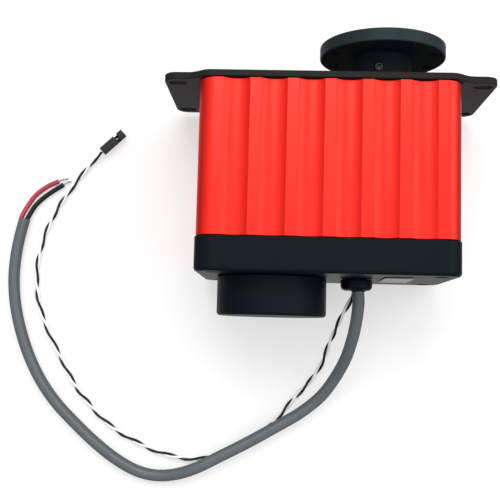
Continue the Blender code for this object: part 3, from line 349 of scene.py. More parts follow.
def round_corners(corners, closed=False, steps=EDGE_STEPS):
    """Rows (a, b, normal a, normal b) along corners (a, b, radius), with the material on the left."""
    rows = []
    count = len(corners)
    for index, (a, b, *radius) in enumerate(corners):
        radius = radius[0] if radius else 0.0
        first = index == 0 and not closed
        last = index == count - 1 and not closed
        before = None if first else heading(corners[index - 1], (a, b))
        after = None if last else heading((a, b), corners[(index + 1) % count])
        if first or last:
            way = after or before
            rows.append((a, b, way[1], -way[0]))
            continue
        cross = before[0] * after[1] - before[1] * after[0]
        turn = atan2(cross, before[0] * after[0] + before[1] * after[1])
        if not radius or abs(turn) < STRAIGHT:
            rows.append((a, b, before[1], -before[0]))
            rows.append((a, b, after[1], -after[0]))
            continue
        side = copysign(radius, turn)
        reach = radius * tan(abs(turn) / 2)
        normal = atan2(-before[0], before[1])
        centre_a = a - before[0] * reach - side * cos(normal)
        centre_b = b - before[1] * reach - side * sin(normal)
        for step in range(steps + 1):
            way = normal + turn * step / steps
            out, up = cos(way), sin(way)
            rows.append((centre_a + side * out, centre_b + side * up, out, up))
    return rows


def turns(segments, start=0.0):
    """Evenly spaced angles round a circle."""
    return [start + 2 * pi * step / segments for step in range(segments)]


def pairs_round(items):
    """Each item with the next one, the last with the first."""
    return list(zip(items, items[1:] + items[:1]))


def spokes_round(across, up, segments):
    """Unit directions round a circle, evenly spaced from across towards up."""
    return [across * cos(turn) + up * sin(turn) for turn in turns(segments)]


def around(centre, radius, turn):
    """The (x, z) point at a distance and a turn round another."""
    return centre[0] + radius * cos(turn), centre[1] + radius * sin(turn)


def on_axis(axis, y=0.0):
    """The point at a height on an axis that runs along Y."""
    return Vector((axis[0], y, axis[1]))


def washer(inner, outer, low, high, edge, inner_edge=0.0):
    """Rows round the section of a ring, with its outer edges rounded and perhaps its upper inner one."""
    corners = [(inner, low), (outer, low, edge), (outer, high, edge), (inner, high, inner_edge), (inner, low)]
    return round_corners(corners)


def circle(centre, segments=ROUND_SEGMENTS, start=0.0):
    """Outline of no size round a centre, so that a row's first number is a radius."""
    return [(*centre, cos(turn), sin(turn)) for turn in turns(segments, start)]


def ring(outline, offset):
    """The (x, z) points at a distance outside an outline."""
    return [(x + across * offset, z + up * offset) for x, z, across, up in outline]


def into_scene(name, data):
    """A new object in the scene, of a mesh, light or camera."""
    obj = bpy.data.objects.new(name, data)
    bpy.context.scene.collection.objects.link(obj)
    return obj


def stand_in(piece, body, node):
    """Attach the piece to the body it moves with, and hide the CAD node it stands for."""
    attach(piece, body)
    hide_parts(node)
    return piece


class Shell:
    """A mesh in the making, in millimetres, whose face corners carry exact normals."""

    def __init__(self):
        self.index = {}
        self.points = []
        self.faces = []
        self.normals = []
        self.slots = []
        self.slot = 0

    def vertex(self, point):
        """The number of the vertex at a point, which faces that meet there share."""
        key = tuple(round(value, 4) for value in point)
        if key not in self.index:
            self.index[key] = len(self.points)
            self.points.append(tuple(point))
        return self.index[key]

    def face(self, points, normals):
        """Add one face, turned to agree with its normals, unless it has no area."""
        corners = []
        for point, normal in zip(points, normals):
            vertex = self.vertex(point)
            if vertex not in [corner[0] for corner in corners]:
                corners.append((vertex, normal))
        if len(corners) < 3:
            return
        places = [Vector(self.points[vertex]) for vertex, _ in corners]
        area = Vector()
        for here, there in pairs_round(places):
            area += here.cross(there)
        wanted = sum((Vector(normal) for _, normal in corners), Vector())
        if area.dot(wanted) < 0:
            corners.reverse()
        self.faces.append([vertex for vertex, _ in corners])
        self.normals += [normal for _, normal in corners]
        self.slots.append(self.slot)

    def quads(self, corner, columns, rows):
        """Add a face between each two neighbouring columns and rows; corner gives (point, normal)."""
        for here, there in columns:
            for low, high in zip(rows, rows[1:]):
                corners = [corner(here, low), corner(there, low), corner(there, high), corner(here, high)]
                self.face(*zip(*corners))

    def wall(self, outline, rows, closed=True):
        """Sweep rows (offset, y, out, up) round an outline."""
        def corner(place, row):
            x, z, across, up = place
            offset, y, out, rise = row
            return (x + across * offset, y, z + up * offset), (across * out, rise, up * out)

        columns = pairs_round(outline)
        self.quads(corner, columns if closed else columns[:-1], rows)

    def flat(self, y, up, *rings):
        """A flat face across Y with an outline, then its holes."""
        points = [(x, y, z) for loop in rings for x, z in loop]
        loops = [[Vector((x, z, 0.0)) for x, z in loop] for loop in rings]
        for triangle in tessellate_polygon(loops):
            self.face([points[index] for index in triangle], [(0.0, up, 0.0)] * 3)

    def turned(self, rows, origin, along, spokes):
        """Turn rows (radius, distance, out, forward) round the axis that goes along from origin."""
        def corner(spoke, row):
            radius, distance, out, forward = row
            return origin + along * distance + spoke * radius, spoke * out + along * forward

        self.quads(corner, pairs_round(spokes), rows)

    def lathe(self, rows, origin, along=(0.0, 1.0, 0.0), segments=ROUND_SEGMENTS):
        """Turn rows (radius, distance, out, forward) round an axis through origin."""
        along = Vector(along).normalized()
        across = Vector((1.0, 0.0, 0.0))
        across = (across - along * across.dot(along)).normalized()
        spokes = spokes_round(across, across.cross(along), segments)
        self.turned(rows, Vector(origin), along, spokes)

    def tube(self, path, radius, segments, mouth=None):
        """A round tube along path with flat ends, or with mouth, the rows of its far end."""
        frames = carried_frames(path)
        rings = []
        for place, _, across, up in frames:
            spokes = spokes_round(across, up, segments)
            rings.append([(place + spoke * radius, spoke) for spoke in spokes])
        for low, high in zip(rings, rings[1:]):
            for (here, above), (there, beyond) in pairs_round(list(zip(low, high))):
                self.face(*zip(here, there, beyond, above))
        flat_end = [(radius, 0.0, 0.0, 1.0), (0.0, 0.0, 0.0, 1.0)]
        for frame_at, sign, rows in ((frames[0], -1, flat_end), (frames[-1], 1, mouth or flat_end)):
            place, way, across, up = frame_at
            self.turned(rows, place, way * sign, spokes_round(across, up, segments))

    def build(self, name, body, slot, node, *looks):
        """Make the piece that stands for a CAD node; its looks are its finish unless others are given."""
        mesh = bpy.data.meshes.new(name)
        points = [tuple(value * MM for value in point) for point in self.points]
        mesh.from_pydata(points, [], self.faces, shade_flat=False)
        for look in looks or [slot]:
            mesh.materials.append(LOOKS[look])
        mesh.polygons.foreach_set("material_index", self.slots)
        mesh.normals_split_custom_set([Vector(normal).normalized() for normal in self.normals])
        mesh.update()
        return stand_in(into_scene(name, mesh), body, node)


def carried_frames(path):
    """(place, way, across, up) at each point of a path, carried along it without twist."""
    path = [Vector(point) for point in path]
    neighbours = zip(path[:1] + path[:-1], path[1:] + path[-1:])
    ways = [(after - before).normalized() for before, after in neighbours]
    across = Vector((0.0, 0.0, 1.0))
    frames = []
    for place, way in zip(path, ways):
        across = (across - way * across.dot(way)).normalized()
        frames.append((place, way, across, way.cross(across)))
    return frames


def smooth_route(points, spacing):
    """Points evenly spaced on a smooth curve through the given ones."""
    knots = [Vector(point) for point in points]
    knots = [knots[0] * 2 - knots[1]] + knots + [knots[-1] * 2 - knots[-2]]
    fine = []
    for before, start, end, after in zip(knots, knots[1:], knots[2:], knots[3:]):
        for step in range(20):
            part = step / 20
            linear = (end - before) * part
            square = (before * 2 - start * 5 + end * 4 - after) * part**2
            cube = (start * 3 - before - end * 3 + after) * part**3
            fine.append(start + (linear + square + cube) / 2)
    fine.append(knots[-2])
    lengths = [0.0]
    for first, second in zip(fine, fine[1:]):
        lengths.append(lengths[-1] + (second - first).length)
    count = max(2, round(lengths[-1] / spacing))
    route = []
    index = 1
    for step in range(count + 1):
        distance = lengths[-1] * step / count
        while index < len(fine) - 1 and lengths[index] < distance:
            index += 1
        part = (distance - lengths[index - 1]) / (lengths[index] - lengths[index - 1])
        route.append(fine[index - 1].lerp(fine[index], part))
    return route


# --- the case ---


def four_places(x, z):
    """The four (x, z) places of a pattern that is symmetrical about the body."""
    return [(side * x, MID_Z + rise * z) for side in (-1, 1) for rise in (-1, 1)]


def screw_circles():
    """The outlines of the case's four corner screws."""
    return [circle(place, BORE_SEGMENTS) for place in four_places(SCREW_X, SCREW_Z)]


def screw_holes(shell, recess, mouth, floor, far):
    """The corner screws' holes, with a recess from mouth to floor; gives their rings at mouth and at far."""
    edge, hole_edge = 0.3, 0.1
    corners = [
        (recess + edge, mouth), (recess, mouth, edge), (recess, floor, hole_edge),
        (SCREW_HOLE, floor, hole_edge), (SCREW_HOLE, far, hole_edge), (SCREW_HOLE + hole_edge, far),
    ]
    rows = round_corners(corners if mouth > far else corners[::-1])
    for hole in screw_circles():
        shell.wall(hole, rows)
    radii = (recess + edge, SCREW_HOLE + hole_edge)
    return [[ring(hole, radius) for hole in screw_circles()] for radius in radii]


def groove(centre):
    """One scallop across the housing's front, from its right edge to its left."""
    fillet_z = HOUSING_FRONT - GROOVE_EDGE
    circle_z = HOUSING_FRONT + GROOVE_RADIUS - GROOVE_DEPTH
    reach = acos((circle_z - fillet_z) / (GROOVE_RADIUS + GROOVE_EDGE))
    fillet_x = (GROOVE_RADIUS + GROOVE_EDGE) * sin(reach)
    # A fillet, the scallop itself, and the other fillet: each point's circle and the turn to it.
    sweep = [(fillet_x, fillet_z, GROOVE_EDGE, reach * step / 3) for step in range(4)]
    sweep += [(0.0, circle_z, -GROOVE_RADIUS, reach * (1 - step / 8)) for step in range(1, 16)]
    sweep += [(-fillet_x, fillet_z, GROOVE_EDGE, reach * (step / 3 - 1)) for step in range(4)]
    points = []
    for x, z, radius, turn in sweep:
        across, up = -sin(turn), cos(turn)
        points.append((centre + x + radius * across, z + radius * up, across, up))
    return points


def mirrored(points, across):
    """Points with normals, mirrored in x or in z and run the other way."""
    if across == "x":
        return [(-x, z, -nx, nz) for x, z, nx, nz in reversed(points)]
    return [(x, DEPTH - z, nx, -nz) for x, z, nx, nz in reversed(points)]


def corner_arc(centre, radius, start):
    """A quarter round from start degrees on."""
    quarter = [radians(start + 90 * step / ARC_STEPS) for step in range(ARC_STEPS + 1)]
    return [(*around(centre, radius, turn), cos(turn), sin(turn)) for turn in quarter]


def chamfered(half_width, low, high):
    """Outline of the inside of the case: a rectangle with cut corners, anticlockwise."""
    chamfer, edge = INNER_CHAMFER, 1.0
    inner = half_width - chamfer
    right = [(inner, low), (half_width, low + chamfer), (half_width, high - chamfer), (inner, high)]
    corners = right + [(-x, z) for x, z in reversed(right)]
    return round_corners([(*corner, edge) for corner in corners], closed=True)


def outside_rows(low, high, low_edge, high_edge, radius=0.0):
    """Rows up an outer wall with rounded edges."""
    return round_corners([
        (radius - low_edge, low), (radius, low, low_edge),
        (radius, high, high_edge), (radius - high_edge, high),
    ])


def inside_rows(low, high, edge, radius=0.0):
    """Rows down the wall of a hole with rounded edges."""
    outer = radius + edge
    return round_corners([(outer, high), (radius, high, edge), (radius, low, edge), (outer, low)])


def make_housing():
    """The ribbed sleeve, with its grooves, bore and screw holes."""
    shell = Shell()
    front = [point for centre in GROOVE_CENTRES for point in groove(centre)]
    corner_x = HOUSING_HALF_WIDTH - HOUSING_CORNER
    quarter = corner_arc((corner_x, HOUSING_FRONT - HOUSING_CORNER), HOUSING_CORNER, 0)
    front = quarter + front + mirrored(quarter, "x")
    outline = front + mirrored(front, "z")
    # The edge is smaller than the grooves' own, so that it doesn't fold over itself at their lips.
    edge, hole_edge = 0.28, 0.2
    bore_low, bore_high = HOUSING_BACK + HOUSING_WALL, HOUSING_FRONT - HOUSING_WALL
    bore = chamfered(HOUSING_HALF_WIDTH - HOUSING_WALL, bore_low, bore_high)
    shell.wall(outline, outside_rows(HOUSING_BOTTOM, HOUSING_TOP, edge, edge))
    shell.wall(bore, inside_rows(HOUSING_BOTTOM, HOUSING_TOP, edge))
    for hole in screw_circles():
        shell.wall(hole, inside_rows(HOUSING_BOTTOM, HOUSING_TOP, hole_edge, SCREW_HOLE))
    loops = [ring(outline, -edge), ring(bore, edge)]
    loops += [ring(hole, SCREW_HOLE + hole_edge) for hole in screw_circles()]
    shell.flat(HOUSING_TOP, 1.0, *loops)
    shell.flat(HOUSING_BOTTOM, -1.0, *loops)
    shell.build("ribbed_sleeve", "case", "red_anodised", "ribbed_housing")


def shoulder(start, end):
    """Part of the S from the plate's full depth down to an ear, at +X, from x = end to start."""
    points = []
    span = SHOULDER_END - SHOULDER_START
    for step in range(SHOULDER_STEPS + 1):
        x = end + (start - end) * step / SHOULDER_STEPS
        phase = pi * (x - SHOULDER_START) / span
        slope = -EAR_INSET * sin(phase) / 2 * pi / span
        length = hypot(slope, 1.0)
        z = DEPTH - EAR_INSET * (1 - cos(phase)) / 2
        points.append((x, z, -slope / length, 1 / length))
    return points


def make_plate():
    """The mounting plate with its slotted ears, its seat for the housing and its recesses."""
    shell = Shell()
    edge = PLATE_BOTTOM - EAR_BOTTOM
    top_edge, hole_edge = 0.5, 0.3
    corner = (PLATE_HALF_WIDTH - EAR_CORNER, DEPTH - EAR_INSET - EAR_CORNER)
    ear_front = corner_arc(corner, EAR_CORNER, 0) + shoulder(SEAT_HALF_WIDTH, SHOULDER_END)
    right_ear = mirrored(ear_front, "z") + ear_front
    left_ear = mirrored(right_ear, "x")
    half_front = shoulder(SHOULDER_START, SEAT_HALF_WIDTH)
    front = half_front + mirrored(half_front, "x")
    back = mirrored(front, "z")
    # The ears' rows get one more where the seat's start, so that the two share their vertices.
    seat_rows = outside_rows(PLATE_BOTTOM, PLATE_TOP, edge, top_edge)
    ear_rows = outside_rows(EAR_BOTTOM, PLATE_TOP, edge, top_edge)
    ear_rows.insert(EDGE_STEPS + 2, (0.0, PLATE_BOTTOM + edge, 1.0, 0.0))
    for strip, rows in ((right_ear, ear_rows), (left_ear, ear_rows), (front, seat_rows), (back, seat_rows)):
        shell.wall(strip, rows, closed=False)
    # The small steps between the ears' underside and the seat's.
    ends = []
    profile = seat_rows[: EDGE_STEPS + 1] + ear_rows[: EDGE_STEPS + 3][::-1]
    for (x, z, across, up), side in ((front[0], -1.0), (front[-1], 1.0), (back[0], 1.0), (back[-1], -1.0)):
        points = [(x + across * offset, y, z + up * offset) for offset, y, *_ in profile]
        shell.face(points, [(side, 0.0, 0.0)] * len(points))
        ends.append((x - across * edge, z - up * edge))
    for first, second, side in ((ends[0], ends[3], -1.0), (ends[1], ends[2], 1.0)):
        points = [(first[0], y, first[1]) for y in (EAR_BOTTOM, PLATE_BOTTOM)]
        points += [(second[0], y, second[1]) for y in (PLATE_BOTTOM, EAR_BOTTOM)]
        shell.face(points, [(side, 0.0, 0.0)] * 4)
    carrier = circle(OUTPUT_AXIS)
    slots = []
    for x, z in four_places(SLOT_X, SLOT_Z):
        slot = []
        for reach, start in ((SLOT_REACH, -90), (-SLOT_REACH, 90)):
            slot += corner_arc((x + reach, z), 0.0, start) + corner_arc((x + reach, z), 0.0, start + 90)[1:]
        slots.append(slot)
    shell.wall(carrier, inside_rows(PLATE_BOTTOM, PLATE_TOP, hole_edge, CARRIER_HOLE))
    screw_tops, screw_bottoms = screw_holes(shell, PLATE_RECESS, PLATE_TOP, PLATE_RECESS_FLOOR, PLATE_BOTTOM)
    for slot in slots:
        shell.wall(slot, inside_rows(EAR_BOTTOM, PLATE_TOP, hole_edge, SLOT_RADIUS))
    outline = right_ear + front[1:-1] + left_ear + back[1:-1]
    slot_rings = [ring(slot, SLOT_RADIUS + hole_edge) for slot in slots]
    hole = ring(carrier, CARRIER_HOLE + hole_edge)
    shell.flat(PLATE_TOP, 1.0, ring(outline, -top_edge), hole, *slot_rings, *screw_tops)
    shell.flat(PLATE_BOTTOM, -1.0, ring(front + back, -edge), hole, *screw_bottoms)
    shell.flat(EAR_BOTTOM, -1.0, ring(right_ear, -edge), *slot_rings[2:])
    shell.flat(EAR_BOTTOM, -1.0, ring(left_ear, -edge), *slot_rings[:2])
    # The plate takes its lighter copy of the black anodising, with painted light.
    shell.build("end_plate", "case", "black_anodised", "mounting_plate", "black_anodised_plate_tone_and_painted_light")


def make_bottom_cap():
    """The end cap: rounded edges, pocket, motor collar, gland hole and screw recesses."""
    shell = Shell()
    end_edge, top_edge, floor_edge, hole_edge = 1.5, 0.3, 0.3, 0.1
    quarter = corner_arc((CAP_HALF_WIDTH - CAP_CORNER, DEPTH - CAP_CORNER), CAP_CORNER, 0)
    half = quarter + mirrored(quarter, "x")
    outline = half + mirrored(half, "z")
    pocket = chamfered(CAP_HALF_WIDTH - CAP_WALL, CAP_WALL, DEPTH - CAP_WALL)
    motor = circle(MOTOR_AXIS)
    gland = circle(GLAND_AXIS)
    shell.wall(outline, outside_rows(CAP_END, CAP_TOP, end_edge, top_edge))
    shell.wall(pocket, round_corners([
        (top_edge, CAP_TOP), (0.0, CAP_TOP, top_edge), (0.0, CAP_FLOOR, floor_edge), (-floor_edge, CAP_FLOOR),
    ]))
    shell.wall(motor, round_corners([
        (COLLAR_BORE + hole_edge, CAP_FLOOR), (COLLAR_BORE, CAP_FLOOR, hole_edge),
        (COLLAR_BORE, COLLAR_END, 0.2), (COLLAR_RADIUS, COLLAR_END, 0.3),
        (COLLAR_RADIUS, CAP_END, hole_edge), (COLLAR_RADIUS + hole_edge, CAP_END),
    ]))
    shell.wall(gland, inside_rows(CAP_END, CAP_FLOOR, hole_edge, GLAND_HOLE))
    mouths, holes = screw_holes(shell, CAP_RECESS, CAP_END, CAP_RECESS_FLOOR, CAP_TOP)
    gland_ring = ring(gland, GLAND_HOLE + hole_edge)
    collar = ring(motor, COLLAR_RADIUS + hole_edge)
    shell.flat(CAP_END, -1.0, ring(outline, -end_edge), collar, gland_ring, *mouths)
    shell.flat(CAP_TOP, 1.0, ring(outline, -top_edge), ring(pocket, top_edge), *holes)
    shell.flat(CAP_FLOOR, 1.0, ring(pocket, -floor_edge), ring(motor, COLLAR_BORE + hole_edge), gland_ring)
    shell.build("end_cap", "case", "black_anodised", "bottom_cap")


def make_turned(name, body, slot, node, rows, axis=OUTPUT_AXIS):
    """One piece turned about an axis along Y."""
    shell = Shell()
    shell.lathe(rows, on_axis(axis))
    shell.build(name, body, slot, node)


def make_motor_cap():
    """The round cover over the motor's end."""
    make_turned("motor_cover", "case", "black_plastic", "motor_cap", round_corners([
        (0.0, MOTOR_CAP_END), (MOTOR_CAP_RADIUS, MOTOR_CAP_END, 1.3),
        (MOTOR_CAP_RADIUS, MOTOR_CAP_TOP, 0.3), (MOTOR_CAP_INNER, MOTOR_CAP_TOP, 0.3),
        (MOTOR_CAP_INNER, MOTOR_CAP_FLOOR, 0.8), (0.0, MOTOR_CAP_FLOOR),
    ]), MOTOR_AXIS)


def make_label():
    """The blank label, a thin plate with rounded corners."""
    shell = Shell()
    left, right, low, high = 23.0, 34.5, 22.0, 47.5
    bottom, top = -41.05, -40.85
    corner, edge = 0.8, 0.05
    corners = [(left, low, corner), (right, low, corner), (right, high, corner), (left, high, corner)]
    outline = round_corners(corners, closed=True)
    shell.wall(outline, outside_rows(bottom, top, edge, edge))
    shell.flat(bottom, -1.0, ring(outline, -edge))
    shell.flat(top, 1.0, ring(outline, -edge))
    shell.build("blank_label", "case", "label", "end_label")


def make_screw(name, node, slot, place, surface, head_radius, face_depth, underside_depth, tip):
    """A socket-head screw sunk under a surface, with a hexagonal socket."""
    shell = Shell()
    way = 1 if surface > tip else -1
    face = surface - way * face_depth
    underside = surface - way * underside_depth
    socket = face - way * SOCKET_DEPTH
    socket_radius = SOCKET_HALF_WIDTH / cos(pi / 6)
    head_edge, edge = 0.3, 0.1
    hexagon = [(*around(place, socket_radius, turn), edge) for turn in turns(6)]
    hexagon = round_corners(hexagon, closed=True)
    axis = circle(place, BORE_SEGMENTS)
    rows = round_corners([
        (0.0, tip), (SCREW_RADIUS - TIP_CHAMFER, tip), (SCREW_RADIUS, tip + way * TIP_CHAMFER),
        (SCREW_RADIUS, underside), (head_radius, underside, edge),
        (head_radius, face, head_edge), (head_radius - head_edge, face),
    ])
    if way < 0:
        rows = [(radius, y, -out, -up) for radius, y, out, up in rows]
    shell.wall(axis, rows)
    shell.flat(face, way, ring(axis, head_radius - head_edge), ring(hexagon, edge))
    shell.wall(hexagon, [(edge, face, 0.0, way), (edge, face, -1.0, 0.0), (edge, socket, -1.0, 0.0)])
    shell.flat(socket, way, ring(hexagon, edge))
    shell.build(name, "case", slot, node)


def make_screws():
    """The plate's and the end cap's corner screws."""
    for index, place in enumerate(four_places(SCREW_X, SCREW_Z), 1):
        make_screw(
            f"plate_bolt_{index}", f"plate_screw_{index}", "steel", place, PLATE_TOP,
            head_radius=2.6, face_depth=0.1, underside_depth=1.2, tip=18.0,
        )
        make_screw(
            f"cap_bolt_{index}", f"cap_screw_{index}", "black_steel", place, CAP_END,
            head_radius=2.3, face_depth=0.5, underside_depth=2.9, tip=-17.0,
        )


# --- the output ---


def make_shaft():
    """The output shaft, and the ring between its bearing and the hub."""
    chamfer, centre_drill = 0.6, 1.4
    make_turned("output_spindle", "output", "steel", "output_shaft", round_corners([
        (0.0, SHAFT_BOTTOM), (SHAFT_RADIUS, SHAFT_BOTTOM, 0.3),
        (SHAFT_RADIUS, SHAFT_END - chamfer, 0.1), (SHAFT_RADIUS - chamfer, SHAFT_END, 0.1),
        (centre_drill, SHAFT_END, 0.1), (0.0, SHAFT_END - centre_drill),
    ]))
    spacer = washer(BORE_RADIUS, 9.0, low=37.6, high=38.7, edge=0.2)
    make_turned("spacer_ring", "output", "steel", "shaft_collar", spacer)


def make_disc():
    """The output disc with its eight holes, its hub and the hub's screw hole."""
    shell = Shell()
    axis = circle(OUTPUT_AXIS, start=SET_SCREW_ANGLE)
    edge, hole_edge, bore_edge = 0.5, 0.25, 0.3
    fillet_radius, fillet_bottom = HUB_RADIUS + HUB_FILLET, DISC_BOTTOM - 1.0
    holes = []
    for index in range(DISC_HOLE_COUNT):
        turn = radians(360 * (index + 0.5) / DISC_HOLE_COUNT)
        holes.append(circle(around(OUTPUT_AXIS, DISC_HOLE_CIRCLE, turn), BORE_SEGMENTS))
    hole_rings = [ring(hole, DISC_HOLE_RADIUS + hole_edge) for hole in holes]
    rim = ring(axis, DISC_RADIUS - edge)
    shell.wall(axis, outside_rows(DISC_BOTTOM, DISC_TOP, edge, edge, DISC_RADIUS))
    shell.flat(DISC_TOP, 1.0, rim, ring(axis, BORE_RADIUS + bore_edge), *hole_rings)
    # The faces from here on take the second look, the dull copy with painted shade.
    shell.slot = 1
    for hole in holes:
        shell.wall(hole, inside_rows(DISC_BOTTOM, DISC_TOP, hole_edge, DISC_HOLE_RADIUS))
    shell.flat(DISC_BOTTOM, -1.0, rim, ring(axis, fillet_radius), *hole_rings)
    shell.wall(axis, round_corners([
        (BORE_RADIUS + bore_edge, DISC_TOP), (BORE_RADIUS, DISC_TOP, bore_edge),
        (BORE_RADIUS, HUB_BOTTOM, 0.3), (HUB_RADIUS, HUB_BOTTOM, edge), (HUB_RADIUS, HUB_BOTTOM + edge),
    ]))
    shell.wall(axis, round_corners([
        (HUB_RADIUS, fillet_bottom), (HUB_RADIUS, DISC_BOTTOM, HUB_FILLET), (fillet_radius, DISC_BOTTOM),
    ]))
    hub_wall(shell, HUB_BOTTOM + edge, fillet_bottom)
    # The disc's top and rim take the lighter copy with painted light; its underside, holes, bore and hub take
    # the dull copy with painted shade.
    looks = ("black_anodised_disc_painted_light", "black_anodised_painted_shade")
    shell.build("hub_disc", "output", "black_anodised", "output_disc", *looks)


def spoke_at(turn):
    """The unit direction at a turn round an axis along Y."""
    return Vector((cos(turn), 0.0, sin(turn)))


def hub_wall(shell, low, high):
    """The hub's side, with a round pocket for its set screw."""
    # The pocket's rim joins a square patch of this many columns each way.
    span = 4
    step = 2 * pi / ROUND_SEGMENTS
    half = span * step
    reach = HUB_RADIUS * half
    pocket_depth = 5.0

    def on_hub(turn, y):
        way = spoke_at(SET_SCREW_ANGLE + turn)
        return on_axis(OUTPUT_AXIS, y) + way * HUB_RADIUS, way

    levels = [low, *[SET_SCREW_Y + reach * index / span for index in range(-span, span + 1)], high]
    for column in range(ROUND_SEGMENTS):
        left, right = column * step, (column + 1) * step
        near = column < span or column >= ROUND_SEGMENTS - span
        for index, (bottom, top) in enumerate(zip(levels, levels[1:])):
            if near and 0 < index < len(levels) - 2:
                continue
            corners = [on_hub(left, bottom), on_hub(right, bottom), on_hub(right, top), on_hub(left, top)]
            shell.face(*zip(*corners))
    steps = [index / span for index in range(-span, span)]
    square = [(part, -1.0) for part in steps] + [(1.0, part) for part in steps]
    square += [(-part, 1.0) for part in steps] + [(-1.0, -part) for part in steps]
    centre = on_axis(OUTPUT_AXIS, SET_SCREW_Y)
    out = spoke_at(SET_SCREW_ANGLE)
    side = Vector((-out.z, 0.0, out.x))

    def in_hole(across, up, depth=None):
        """A point on the hole's circle, in the hub's surface or at a depth below its top."""
        length = hypot(across, up)
        across, up = across / length * SET_SCREW_HOLE, up / length * SET_SCREW_HOLE
        forward = sqrt(HUB_RADIUS**2 - across**2) if depth is None else HUB_RADIUS - depth
        return centre + out * forward + side * across + Vector((0.0, up, 0.0)), across, up

    floor = centre + out * (HUB_RADIUS - pocket_depth)
    for (a, b), (c, d) in pairs_round(square):
        rim = [in_hole(a, b), in_hole(c, d)]
        outer = [on_hub(c * half, SET_SCREW_Y + d * reach), on_hub(a * half, SET_SCREW_Y + b * reach)]
        rim_corners = []
        for point, _, up in rim:
            rim_corners.append((point, (point - centre - Vector((0.0, up, 0.0))).normalized()))
        shell.face(*zip(*rim_corners, *outer))
        bottom = [in_hole(c, d, pocket_depth), in_hole(a, b, pocket_depth)]
        corners = []
        for point, across, up in rim + bottom:
            corners.append((point, -(side * across + Vector((0.0, up, 0.0))).normalized()))
        shell.face(*zip(*corners))
        shell.face([bottom[1][0], bottom[0][0], floor], [out] * 3)


def make_set_screw():
    """The hub's set screw, with a hexagonal socket."""
    shell = Shell()
    bottom, top, socket_floor = 7.1, 11.4, 10.2
    socket, bevel = 0.85, 0.1
    mouth = socket + 0.2
    outside = [(0.0, bottom), (SET_SCREW_RADIUS, bottom), (SET_SCREW_RADIUS, top, 0.25), (mouth, top)]
    for rows in (
        round_corners(outside),
        [(mouth, top, 0.0, 1.0), (socket, top - bevel, -0.7, 0.7)],
        [(socket, top - bevel, -1.0, 0.0), (socket, socket_floor, -1.0, 0.0)],
        [(socket, socket_floor, 0.0, 1.0), (0.0, socket_floor, 0.0, 1.0)],
    ):
        shell.lathe(rows, on_axis(OUTPUT_AXIS, SET_SCREW_Y), spoke_at(SET_SCREW_ANGLE), segments=36)
    shell.build("hub_grub_screw", "output", "black_steel", "hub_set_screw")


def make_bearing():
    """The bearing carrier, and the bearing's rings, cage and balls."""
    lip, bore, barrel, flange, edge = 11.3, 13.3, 16.0, 18.0, 0.3
    low, lip_top, flange_low, flange_high, high = 28.1, 29.3, 31.8, 34.5, 37.05
    make_turned("bearing_seat", "case", "bare_aluminium", "bearing_carrier", round_corners([
        (lip, low), (barrel, low, edge), (barrel, flange_low), (flange, flange_low, edge),
        (flange, flange_high, edge), (barrel, flange_high), (barrel, high, edge), (bore, high, edge),
        (bore, lip_top), (lip, lip_top, 0.2), (lip, low),
    ]))
    for name, node, body, inner, outer in (
        ("outer_race", "bearing_outer_ring", "case", 11.2, 13.0),
        ("inner_race", "bearing_inner_ring", "output", BORE_RADIUS, 8.2),
    ):
        race = washer(inner, outer, low=29.6, high=36.6, edge=edge, inner_edge=0.2)
        make_turned(name, body, "steel", node, race)
    shell = Shell()
    cage = washer(inner=9.1, outer=10.3, low=32.4, high=33.8, edge=0.1, inner_edge=0.1)
    shell.lathe(cage, on_axis(OUTPUT_AXIS))
    shell.slot = 1
    rows = []
    for step in range(BALL_STEPS + 1):
        angle = pi * (step / BALL_STEPS - 0.5)
        out, up = cos(angle), sin(angle)
        rows.append((BALL_RADIUS * out, BALL_RADIUS * up, out, up))
    for turn in turns(BALL_COUNT):
        centre = on_axis(around(OUTPUT_AXIS, BALL_CIRCLE, turn), BALL_Y)
        shell.lathe(rows, centre, segments=2 * BALL_STEPS)
    shell.build("caged_balls", "ball_cage", "brass", "bearing_ball_cage", "brass", "steel")


# --- the leads ---


def make_gland():
    """The black cable gland: a rounded head that both leads leave through, with a lip round the cable."""
    shell = Shell()
    head, neck, end, seat, foot = 6.5, 4.3, -45.25, -40.85, -33.5
    rows = round_corners([
        (0.0, end), (head, end, 2.0), (head, seat, 0.5),
        (neck, seat), (neck, foot, 0.3), (0.0, foot),
    ], steps=6)
    shell.lathe(rows, on_axis(GLAND_AXIS), segments=64)
    bore, lip, low, high = JACKET_RADIUS, 2.95, -45.6, -45.2
    rows = round_corners([(bore, low), (lip, low, 0.2), (lip, high), (bore, high), (bore, low)])
    shell.lathe(rows, on_axis(JACKET_ROUTE[0][::2]), segments=40)
    shell.build("gland_head", "case", "gland_plastic", "cable_gland")


def extended(route, before=0.0, after=0.0):
    """A route with its ends carried on in their own directions."""
    points = [Vector(point) for point in route]
    if before:
        points.insert(0, points[0] - (points[1] - points[0]).normalized() * before)
    if after:
        points.append(points[-1] + (points[-1] - points[-2]).normalized() * after)
    return points


def make_strands(name, node, route):
    """A bundle of fine bare wires, laid in a slight twist, loosened and cut unevenly at its end."""
    shell = Shell()
    frames = carried_frames(smooth_route(route, 0.3))
    layout = [(0.0, 0.0)] + [(0.15, turn) for turn in turns(6)] + [(0.28, turn + 0.2) for turn in turns(10)]
    twist, loosening, longest_cut = 2.2, 0.12, 3
    for offset, start in layout:
        strand = []
        for index, (place, _, across, up) in enumerate(frames):
            part = index / (len(frames) - 1)
            turn = start + twist * part
            spread = offset * (1.0 + loosening * part * sin(5 * start))
            strand.append(place + across * cos(turn) * spread + up * sin(turn) * spread)
        cut = len(strand) - int(longest_cut * abs(sin(7 * start + offset)))
        shell.tube(strand[:cut], STRAND_RADIUS, segments=6)
    return shell.build(name, "case", "tinned_copper", node)


